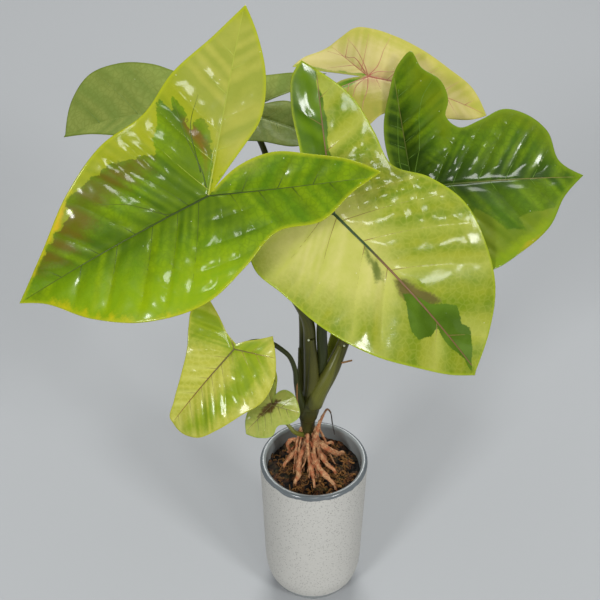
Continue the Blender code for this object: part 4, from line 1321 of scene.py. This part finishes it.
def loose_matter():
    """Bark and dried moss, dry and matt, from straw yellow through orange to dark brown."""
    finish, tree = new_finish("dry_bark_and_moss")
    grain = add(tree, "Attribute", output="Vector", attribute_name="grain")
    tint = add(tree, "Attribute", output="Fac", attribute_name="tint")
    fibres = add(tree, "TexNoise", {"Vector": grain, "Scale": 1.5, "Detail": 4.0})
    colour = add(tree, "Mix", {0: tint, 6: linear("#3a2210"), 7: linear("#a87238")}, 2, data_type="RGBA")
    colour = add(tree, "Mix", {0: fibres, 6: colour, 7: linear("#6a4a1c")}, 2, data_type="RGBA")
    relief = add(tree, "Bump", {"Height": fibres, "Strength": 1.0, "Distance": 0.3 * MM})
    shader = add(tree, "BsdfPrincipled", {"Base Color": colour, "Roughness": 0.85, "Normal": relief})
    add(tree, "OutputMaterial", {"Surface": shader})
    return finish


loose_draw = np.random.default_rng(77)
loose_tubes = []
for _ in range(CHIP_COUNT):
    length = loose_draw.uniform(*CHIP_LENGTH)
    route = resting_route(loose_draw, 4, length, BARK_RADIUS, wander=0.25, lift=1.0)
    loose_tubes.append(tube(route, 12, 12, chip_swell))
for _ in range(THREAD_COUNT):
    length = loose_draw.uniform(*THREAD_LENGTH)
    route = resting_route(loose_draw, 6, length, THREAD_RADIUS, wander=0.7, lift=2.2)
    loose_tubes.append(tube(route, 24, 6))
loose_tints = loose_draw.uniform(0.0, 1.0, len(loose_tubes))
loose = tubes_piece("bark_chips_and_moss", loose_tubes, [loose_matter()], loose_tints)

# %% [markdown]
# Seven leaf stalks grow from one short stem. Each is fleshy and nearly round, with a shallow groove
# up its inner side, and it widens below into a sheath that clasps the next one. Their routes are the
# CAD's. Their skin is smooth and half glossy, olive green with fine paler lines along it.

# %% The stalks' routes
STALK_END_DROP = 2.6
STALK_INTO_BLADE = 0.3
STALKS = {
    "leaf_front_left": ((-3, 4, 158, 4.6), (-2, 3, 177, 4.8), (-3, 4, 208, 3.9), (-5, 2, 230, 3.5),
                        (-16, -5, 258, 2.9), (-31, -14, 284, 2.3), (-43, -22, 304, 2.0),
                        (-49, -30, 324, 1.7)),
    "leaf_front_right": ((-1, 6, 160, 3.8), (2, 7, 173, 3.8), (4.5, 5, 199, 3.3), (4, 2, 225, 3.1),
                         (7, -4, 270, 2.4), (9, -12, 303, 1.8)),
    "leaf_right": ((0, 0, 163, 4.8), (3, 1, 174, 5.4), (10, 5, 187, 4.8), (18, 12, 205, 3.6),
                   (32, 20, 245, 2.7), (48, 27, 286, 1.9)),
    "leaf_back_right": ((-1, 9, 157, 3.8), (4, 12, 169, 3.8), (9, 16, 187, 3.4), (14, 25, 204, 3.2),
                        (20, 40, 230, 2.6), (22, 60, 275, 2.0), (27, 86, 322, 1.6)),
    "leaf_back_left": ((-5, 8, 155, 4.2), (-6, 9, 171, 4.6), (-6, 14, 188, 3.7), (-8, 28, 224, 2.7),
                       (-18, 44, 264, 2.2), (-30, 57, 312, 1.8)),
    "leaf_low_left": ((-7, 4, 150, 3.0), (-9, -1, 168, 2.6), (-11, -2, 181, 1.9), (-12, -3, 194, 1.6),
                      (-15, -4, 205, 1.5), (-20, -6, 213, 1.5), (-27, -8, 220, 1.4), (-37, -12, 224, 1.3)),
    "leaf_lowest": ((-6, 5, 132, 1.8), (-12, 2, 137, 1.4), (-15.5, 3, 141, 1.2), (-22, 6, 149, 1.1),
                    (-29, 6, 160, 1.0), (-32, 4, 177, 1.0), (-30, 1, 191, 1.0), (-26, -2, 195.5, 1.0),
                    (-23.8, -2.8, 189, 1.0), (-24.4, -6, 181, 1.0)),
}
STALK_TINTS = {"leaf_front_left": 0.45, "leaf_front_right": 0.0, "leaf_right": 0.42,
               "leaf_back_right": 0.95, "leaf_back_left": 0.3, "leaf_low_left": 0.05, "leaf_lowest": 0.95}
STEM_STEPS = 90
STEM_SIDES = 36
STALK_STEPS = 120
STALK_SIDES = 28
STEM_ROUTE = ((STEM_X, STEM_Y, 88, STEM_RADIUS), (STEM_X, STEM_Y, 128, STEM_RADIUS), (-4, 6.5, 143, 4.8),
              (-3.5, 5, 156, 6.8), (-2, 4, 172, 5.0))


STALK_GROOVE = 0.16
STALK_GROOVE_ANGLE = 0.5
STALK_GROOVE_LENGTH = 120.0
STALK_RIBS = 11
STALK_RIB_HEIGHT = 0.012
RING_SPACING = 11.0
RING_WIDTH = 0.8
RING_HEIGHT = 0.05


def stalk_swell(length, angle):
    """A shallow groove up one side that fades with the length, and faint ribs all round."""
    across = np.exp(-((np.abs(angle - math.pi)) / STALK_GROOVE_ANGLE) ** 2)
    groove = STALK_GROOVE * across * np.exp(-length / STALK_GROOVE_LENGTH)
    return 1.0 - groove + STALK_RIB_HEIGHT * np.cos(STALK_RIBS * angle + 0.01 * length)


def stem_swell(length, angle):
    """Low rings where old leaves were attached, and three slow ribs that wind round."""
    rings = np.exp(-((length % RING_SPACING - RING_SPACING / 2) / RING_WIDTH) ** 2)
    return 1.0 + RING_HEIGHT * rings + 0.02 * np.cos(3 * angle + 0.2 * length)


def stalk_route(leaf_name):
    """The stalk's route, with two more points: one just under its blade and one in it."""
    leaf = LEAVES[leaf_name]
    end = np.array(leaf["at"]) - STALK_END_DROP * leaf_axes(leaf["pose"])[2]
    last = STALKS[leaf_name][-1]
    into = np.array(leaf["at"]) - STALK_INTO_BLADE * leaf_axes(leaf["pose"])[2]
    return [*STALKS[leaf_name], (*end, 0.85 * last[3]), (*into, 0.6 * last[3])]


print("stalks:", {name: len(route) for name, route in STALKS.items()}, "points")

# %% [markdown]
# The skin of all stalks is one finish. A tint on each tube says how pale that stalk is, fine lines
# run along the tubes' own grain, and the stem darkens towards the soil.

# %% The stalks' skin
def fleshy_stalk():
    """The stalks' skin: smooth, half glossy, drawn with fine lines along its length. The tint runs
    from blue-green through olive to pale green, and the stem darkens to brown towards the soil."""
    finish, tree = new_finish("fleshy_stalk_skin")
    grain = add(tree, "Attribute", output="Vector", attribute_name="grain")
    tint = add(tree, "Attribute", output="Fac", attribute_name="tint")
    place = add(tree, "TexCoord", output="Object")
    height = add(tree, "SeparateXYZ", {0: place}, 2)
    long_lines = add(tree, "VectorMath", {0: grain, 1: (1.6, 1.6, 0.05)}, operation="MULTIPLY")
    lines = add(tree, "TexNoise", {"Vector": long_lines, "Scale": 1.0, "Detail": 3.0})
    mottle = add(tree, "TexNoise", {"Vector": place, "Scale": 1 / (9 * MM), "Detail": 3.0})
    deep = add(tree, "Mix", {0: lines, 6: linear("#242c12"), 7: linear("#3c421c")}, 2, data_type="RGBA")
    olive = add(tree, "Mix", {0: lines, 6: linear("#3e3e18"), 7: linear("#5c5c26")}, 2, data_type="RGBA")
    pale = add(tree, "Mix", {0: lines, 6: linear("#86942a"), 7: linear("#b2b644")}, 2, data_type="RGBA")
    low_tint = add(tree, "MapRange", {"Value": tint, "From Max": 0.5})
    high_tint = add(tree, "MapRange", {"Value": tint, "From Min": 0.5, "From Max": 1.0})
    colour = add(tree, "Mix", {0: low_tint, 6: deep, 7: olive}, 2, data_type="RGBA")
    colour = add(tree, "Mix", {0: high_tint, 6: colour, 7: pale}, 2, data_type="RGBA")
    old = add(tree, "Math", {0: mottle, 1: 0.03, 2: height}, operation="MULTIPLY_ADD")
    old = add(tree, "MapRange", {"Value": old, "From Min": 0.150, "From Max": 0.185, "To Min": 0.75,
                                 "To Max": 0.0})
    colour = add(tree, "Mix", {0: old, 6: colour, 7: linear("#3c3618")}, 2, data_type="RGBA")
    relief = add(tree, "Bump", {"Height": lines, "Strength": 0.35, "Distance": 0.3 * MM})
    shader = add(tree, "BsdfPrincipled", {"Base Color": colour, "Roughness": 0.42, "IOR": 1.4,
                                          "Specular IOR Level": 0.3, "Coat Weight": 0.1,
                                          "Coat Roughness": 0.15, "Normal": relief})
    add(tree, "OutputMaterial", {"Surface": shader})
    return finish


# %% [markdown]
# A sheath is a thin shell that clasps part of a stalk between two heights. It follows the stalk's
# own route, so it can't stand off from it, and its section is a flat arc instead of a circle.

# %% Sheaths, and the stem put together
SHEATH_SIDES = 14
SHEATH_THICKNESS = 0.7
SHEATH_SINK = 0.3


def sheath(leaf_name, low, high, facing, spread):
    """A leaf sheath: a thin shell clasping one side of a stalk between two heights, round at its foot
    and narrowing upward into the stalk's edges. facing is the side it covers, spread its half angle
    in degrees."""
    run = smooth_run(stalk_route(leaf_name), 240)
    run = run[(run[:, 2] > low) & (run[:, 2] < high)]
    places, radius = run[:, :3], run[:, 3]
    forward = np.gradient(places, axis=0)
    forward /= np.linalg.norm(forward, axis=1)[:, None]
    middle = np.array(facing, float) - (forward @ np.array(facing, float))[:, None] * forward
    middle /= np.linalg.norm(middle, axis=1)[:, None]
    side = np.cross(middle, forward)
    share = np.linspace(0.0, 1.0, len(run))[:, None]
    half = math.radians(spread) * (1 - 0.75 * share) * np.sqrt(np.minimum(1.0, 0.05 + share / 0.15))
    across = np.linspace(-1.0, 1.0, SHEATH_SIDES)
    swell = SHEATH_THICKNESS * (1 + 0.8 * (1 - share))
    outer = radius[:, None] + swell * np.sqrt(1.02 - across**2) + 0.12
    inner = radius[:, None] - SHEATH_SINK + 0.0 * across
    size = np.hstack([outer, inner[:, ::-1]])
    angle = np.hstack([half * across, half * across[::-1]])
    rows = places[:, None] + (size * np.cos(angle))[..., None] * middle[:, None]
    rows = rows + (size * np.sin(angle))[..., None] * side[:, None]
    length = np.linalg.norm(places - places[0], axis=1)[:, None]
    grain = np.stack([size * np.cos(angle), size * np.sin(angle), length + 0.0 * angle], axis=-1)
    return rows, grain, (rows[0].mean(axis=0), rows[-1].mean(axis=0))


SHEATHS = (
    ("leaf_right", 161.0, 203.0, (-0.55, -1.0, 0.0), 95, 0.55),
    ("leaf_front_left", 158.5, 216.0, (0.45, -1.0, 0.0), 80, 0.5),
    ("leaf_back_left", 158.0, 196.0, (-1.0, -0.6, 0.0), 80, 0.35),
)

stalk_skin = fleshy_stalk()
stem_tubes = [tube(STEM_ROUTE, STEM_STEPS, STEM_SIDES, stem_swell)]
stem_tints = [0.2]
for leaf_name in STALKS:
    stem_tubes.append(tube(stalk_route(leaf_name), STALK_STEPS, STALK_SIDES, stalk_swell))
    stem_tints.append(STALK_TINTS[leaf_name])
for leaf_name, low, high, facing, spread, tint in SHEATHS:
    stem_tubes.append(sheath(leaf_name, low, high, facing, spread))
    stem_tints.append(tint)
stem = tubes_piece("stem_and_stalks", stem_tubes, [stalk_skin], stem_tints)
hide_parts("stem")

# %% [markdown]
# Small things cling to the stalks: the brown papery remains of an old sheath at the left, the dried
# stub of an old leaf at the right, and two drops of water.

# %% Remains and drops
REMAINS = (
    ((-10.5, -3.4, 189, 0.2), (-10.9, -3.6, 180, 0.6), (-10.7, -3.2, 171, 0.75), (-9.8, -1.6, 162, 0.6)),
    ((12.5, 7.0, 191.5, 0.7), (17.0, 5.0, 193.4, 0.6), (22.7, 5.0, 195.1, 0.55)),
)
DROPS = ((-3.9, -2.6, 217.4), (17.8, 7.6, 204.5))
DROP_RADIUS = 0.7
DROP_POINTS = 9


def papery_remains():
    """Dried leaf sheath: brown, thin and matt."""
    finish, tree = new_finish("papery_sheath")
    grain = add(tree, "Attribute", output="Vector", attribute_name="grain")
    fibres = add(tree, "TexNoise", {"Vector": grain, "Scale": 1.2, "Detail": 4.0})
    colour = add(tree, "Mix", {0: fibres, 6: linear("#5c3c1c"), 7: linear("#a87c48")}, 2, data_type="RGBA")
    relief = add(tree, "Bump", {"Height": fibres, "Strength": 0.8, "Distance": 0.3 * MM})
    shader = add(tree, "BsdfPrincipled", {"Base Color": colour, "Roughness": 0.7, "Normal": relief})
    add(tree, "OutputMaterial", {"Surface": shader})
    return finish


def water_drop():
    """Water: smooth and clear, it shows as a bright point with a dark edge."""
    finish, tree = new_finish("water_drop")
    shader = add(tree, "BsdfPrincipled", {"Base Color": linear("#c9d0b4"), "Roughness": 0.05, "IOR": 1.33,
                                          "Coat Weight": 1.0, "Coat Roughness": 0.03})
    add(tree, "OutputMaterial", {"Surface": shader})
    return finish


remains_tubes = [tube(route, 40, 12) for route in REMAINS]
remains = tubes_piece("old_sheaths", remains_tubes, [papery_remains()], (0.0, 0.0))
poles = np.linspace(0.02, 0.98, DROP_POINTS) * math.pi
drop_tubes = []
for x, y, z in DROPS:
    height = z - DROP_RADIUS * np.cos(poles)
    drop_route = np.column_stack([x + 0 * poles, y + 0 * poles, height, DROP_RADIUS * np.sin(poles)])
    drop_tubes.append(tube(drop_route, 20, 16))
tubes_piece("water_drops", drop_tubes, [water_drop()], (0.0, 0.0))

# %% [markdown]
# Above the soil the plant stands on bare roots, as a vine does that was potted from a cutting. They
# are pinkish brown, thick as a match, knobbly, and covered in fine dead skin. The knots are random
# swellings along each tube.

# %% The roots' routes
ROOTS = (
    ((2.8, 5.2, 124, 1.7), (6, 4, 123, 1.9), (11, 5, 118, 1.7), (16, 9, 111, 1.5), (19, 13, 108.3, 1.1)),
    ((-1, 1, 121, 1.7), (0, -1, 118, 1.9), (4, -6, 112, 1.7), (9, -11, 109, 1.6), (13, -16, 108.2, 1.1)),
    ((1.9, 3.2, 120, 1.6), (5, 1, 117, 1.7), (9, -1, 111, 1.5), (13, -3, 108.3, 1.0)),
    ((-7.2, 1.6, 122, 1.6), (-9, -1, 118, 1.6), (-10, -4, 112, 1.5), (-10, -9, 109, 1.5),
     (-12, -13, 108.2, 1.1)),
    ((-9.4, 4.3, 121, 1.5), (-12, 3, 119, 1.5), (-16, 3, 113, 1.4), (-19, 2, 108.4, 1.0)),
    ((-10, 7.4, 124, 1.3), (-14, 7, 126, 1.3), (-17, 8, 121, 1.2), (-16, 9, 115, 1.1),
     (-14, 10, 109.0, 0.9)),
    ((-2.5, 0.6, 119, 1.4), (-2, -2, 114, 1.3), (-1, -8, 109, 1.2), (0, -14, 108.0, 0.9)),
    ((-3.2, 13.5, 121, 1.5), (-3, 17, 117, 1.5), (-5, 21, 111, 1.3), (-8, 24, 108.2, 1.0)),
    ((1.6, 11.2, 121, 1.5), (5, 14, 116, 1.5), (8, 19, 110, 1.3), (12, 22, 108.2, 1.0)),
    ((1.2, 1.8, 126, 1.8), (0.8, -0.4, 134, 1.8), (2.2, -1, 142, 1.6), (3.6, -0.8, 150, 1.3)),
)
AERIAL_ROOT = ((3.4, -0.8, 148, 1.0), (5.6, -1.6, 156, 0.9), (8, -2, 161.0, 0.6), (10.2, -3.5, 159, 0.4),
               (11.2, -6, 153, 0.38), (12.6, -10, 147, 0.3))
CROWN_ROUTE = ((STEM_X, STEM_Y, 112, 4.8), (STEM_X, STEM_Y, 117, 5.6), (STEM_X, STEM_Y, 122, 5.9),
               (STEM_X, STEM_Y, 128, 5.2), (STEM_X, STEM_Y, 134, 4.3))
FINE_ROOT_COUNT = 56
FINE_ROOT_REACH = (3.5, 17.0)
FINE_ROOT_START = (114.0, 134.0)
FINE_ROOT_RADIUS = (0.4, 1.05)
FINE_ROOT_OUT = np.array((0.0, 0.2, 0.45, 0.75, 1.0))
FINE_ROOT_DOWN = np.array((0.0, -0.12, 0.25, 0.8, 1.0))
FINE_ROOT_TAPER = np.array((1.0, 1.0, 0.9, 0.8, 0.5))
FINE_ROOT_WANDER = 0.22
FINE_ROOT_SHAKE = 0.8
FINE_ROOT_DEPTH = 3.0
DIVE = 4.0


def dive(route):
    """The route with one more point, a little further on and down in the soil."""
    *_, before, last = route
    x, y, z = (2 * last[i] - before[i] for i in range(3))
    return [*route, ((x + 2 * last[0]) / 3, (y + 2 * last[1]) / 3, last[2] - DIVE, 0.8 * last[3])]


def fine_root(draw):
    """A thin root out of the stem's foot: over a low arch and down into the soil, wandering."""
    count = len(FINE_ROOT_OUT)
    angle = draw.uniform(0.0, 2 * math.pi)
    reach = draw.uniform(*FINE_ROOT_REACH)
    angles = angle + FINE_ROOT_WANDER * draw.normal(size=count).cumsum()
    out = STEM_RADIUS - 1.2 + reach * FINE_ROOT_OUT
    x, y = STEM_X + out * np.cos(angles), STEM_Y + out * np.sin(angles)
    pull = np.minimum(1.0, (SOIL_EDGE - 2.5) / np.hypot(x, y))
    start = draw.uniform(*FINE_ROOT_START)
    fall = (soil_height(x, y) - FINE_ROOT_DEPTH - start) * FINE_ROOT_DOWN
    height = start + fall + draw.uniform(-FINE_ROOT_SHAKE, FINE_ROOT_SHAKE, count)
    radius = draw.uniform(*FINE_ROOT_RADIUS) * FINE_ROOT_TAPER
    return np.column_stack([x * pull, y * pull, height, radius])


def root_swell(seed):
    """Knots along a root: slow and quick swellings, a little stronger on one side."""
    def swell(length, angle):
        slow = value_noise(length / 2.3 + 3, seed) - 0.5
        quick = value_noise(length / 0.9 + 7 + np.cos(angle), seed + 1) - 0.5
        return 1.0 + 0.45 * slow + 0.22 * quick
    return swell


# %% [markdown]
# The roots' skin is dead outer bark: fibres along the root, with painted shade in the wrinkles and
# painted highlight on the ridges between them, redder in patches. A tint darkens the crown, the fine
# roots and the end of the aerial one.

# %% The roots' skin, and the roots
ROOT_STEPS = 70
ROOT_SIDES = 18


def root_skin():
    """Bare root: matt, fibrous and pinkish brown, with painted shade in its wrinkles and painted highlight
    on its ridges.
    """
    finish, tree = new_finish("fibrous_root_skin")
    grain = add(tree, "Attribute", output="Vector", attribute_name="grain")
    tint = add(tree, "Attribute", output="Fac", attribute_name="tint")
    place = add(tree, "TexCoord", output="Object")
    long_lines = add(tree, "VectorMath", {0: grain, 1: (2.2, 2.2, 0.5)}, operation="MULTIPLY")
    fibres = add(tree, "TexNoise", {"Vector": long_lines, "Scale": 1.0, "Detail": 5.0, "Roughness": 0.65})
    patches = add(tree, "TexNoise", {"Vector": place, "Scale": 1 / (3 * MM), "Detail": 3.0})
    # The fibre noise also drives the bump. Dark where it is low is painted shade in the wrinkles, and light
    # where it is high is painted highlight on the ridges, over the fibres' own tone.
    fibre_tone_and_hollow_shade = add(tree, "MapRange", {"Value": fibres, "From Min": 0.35, "From Max": 0.65})
    patches = add(tree, "MapRange", {"Value": patches, "From Min": 0.42, "From Max": 0.62})
    colour = add(tree, "Mix", {0: fibre_tone_and_hollow_shade, 6: linear("#7c4a28"), 7: linear("#dcae7e")}, 2,
                 data_type="RGBA")
    colour = add(tree, "Mix", {0: patches, 6: colour, 7: linear("#a8623c")}, 2, data_type="RGBA")
    colour = add(tree, "Mix", {0: tint, 6: colour, 7: linear("#221c14")}, 2, data_type="RGBA")
    relief = add(tree, "Bump", {"Height": fibres, "Strength": 1.0, "Distance": 0.4 * MM})
    shader = add(tree, "BsdfPrincipled", {"Base Color": colour, "Roughness": 0.75, "Normal": relief})
    add(tree, "OutputMaterial", {"Surface": shader})
    return finish


root_tubes = [tube(CROWN_ROUTE, 40, 48, root_swell(40))]
for i, route in enumerate(ROOTS[:-1]):
    root_tubes.append(tube(dive(route), ROOT_STEPS, ROOT_SIDES, root_swell(41 + 2 * i)))
root_tubes.append(tube(ROOTS[-1], ROOT_STEPS, ROOT_SIDES, root_swell(70)))
root_tubes.append(tube(AERIAL_ROOT, ROOT_STEPS, 12, root_swell(72)))
root_draw = np.random.default_rng(90)
for i in range(FINE_ROOT_COUNT):
    root_tubes.append(tube(fine_root(root_draw), 44, 10, root_swell(100 + 2 * i)))
root_tints = [0.6] + [0.0] * len(ROOTS) + [np.linspace(0.0, 1.6, ROOT_STEPS).clip(0.0, 1.0)]
root_tints += list(0.45 * root_draw.uniform(0.0, 1.0, FINE_ROOT_COUNT) ** 2)
roots = tubes_piece("bare_roots", root_tubes, [root_skin()], root_tints)
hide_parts("roots")

# %% [markdown]
# The studio is a pale seamless floor under soft light. Small soft boxes stand in front of the plant,
# to the left, to the right and higher in the middle: they put the small bright highlights on the wet
# leaves, and the shadows fall backwards and apart. A wide overhead light and one behind fill them.
# Each box has its place and its size in metres, and its power in watts. The Standard view transform
# keeps the greens as strong as the colours that are written here.

# %% The studio
FLOOR_SIZE = 4.0
FLOOR_COLOUR = "#a8abad"
SOFT_BOXES = {
    "front_left_box": ((-1.65, -2.40, 1.75), 0.6, 52.0),
    "front_right_box": ((1.95, -2.10, 1.75), 0.6, 47.0),
    "low_right_box": ((1.23, -2.64, 1.75), 0.4, 10.0),
    "front_box": ((0.0, -2.1, 2.6), 0.5, 14.0),
    "top_box": ((0.0, 0.0, 3.3), 3.0, 30.0),
    "back_box": ((0.0, 2.1, 2.6), 1.6, 60.0),
}
FILL_BOXES = ("top_box",)


AIM_POINT = (0.0, 0.0, 0.25)
SKY_COLOUR = "#d9dde0"
SKY_STRENGTH = 0.05


def make_floor():
    """A square of seamless paper, large enough to fill the picture."""
    floor_mesh = bpy.data.meshes.new("studio_floor")
    half = FLOOR_SIZE / 2
    corners = [(-half, -half, 0.0), (half, -half, 0.0), (half, half, 0.0), (-half, half, 0.0)]
    floor_mesh.from_pydata(corners, [], [(0, 1, 2, 3)])
    finish, tree = new_finish("seamless_paper")
    shader = add(tree, "BsdfPrincipled", {"Base Color": linear(FLOOR_COLOUR), "Roughness": 0.8})
    add(tree, "OutputMaterial", {"Surface": shader})
    floor_mesh.materials.append(finish)
    floor = bpy.data.objects.new("studio_floor", floor_mesh)
    bpy.context.scene.collection.objects.link(floor)


def make_soft_box(name, place, size, power):
    """A square area light that faces the plant; a fill box is kept out of the reflections."""
    lamp = bpy.data.lights.new(name, "AREA")
    lamp.size = size
    lamp.energy = power
    stand = bpy.data.objects.new(name, lamp)
    stand.location = place
    stand.visible_glossy = name not in FILL_BOXES
    toward = np.array(AIM_POINT) - np.array(place)
    heading = math.atan2(toward[1], toward[0])
    stand.rotation_euler = (math.acos(-toward[2] / np.linalg.norm(toward)), 0.0, heading - math.pi / 2)
    bpy.context.scene.collection.objects.link(stand)


make_floor()
for box_name, (place, size, power) in SOFT_BOXES.items():
    make_soft_box(box_name, place, size, power)
bpy.context.scene.view_settings.view_transform = "Standard"
world = bpy.data.worlds.new("studio_sky")
bpy.context.scene.world = world
world.use_nodes = True
sky = world.node_tree.nodes["Background"]
sky.inputs["Color"].default_value = linear(SKY_COLOUR)
sky.inputs["Strength"].default_value = SKY_STRENGTH
print("soft boxes:", ", ".join(SOFT_BOXES))
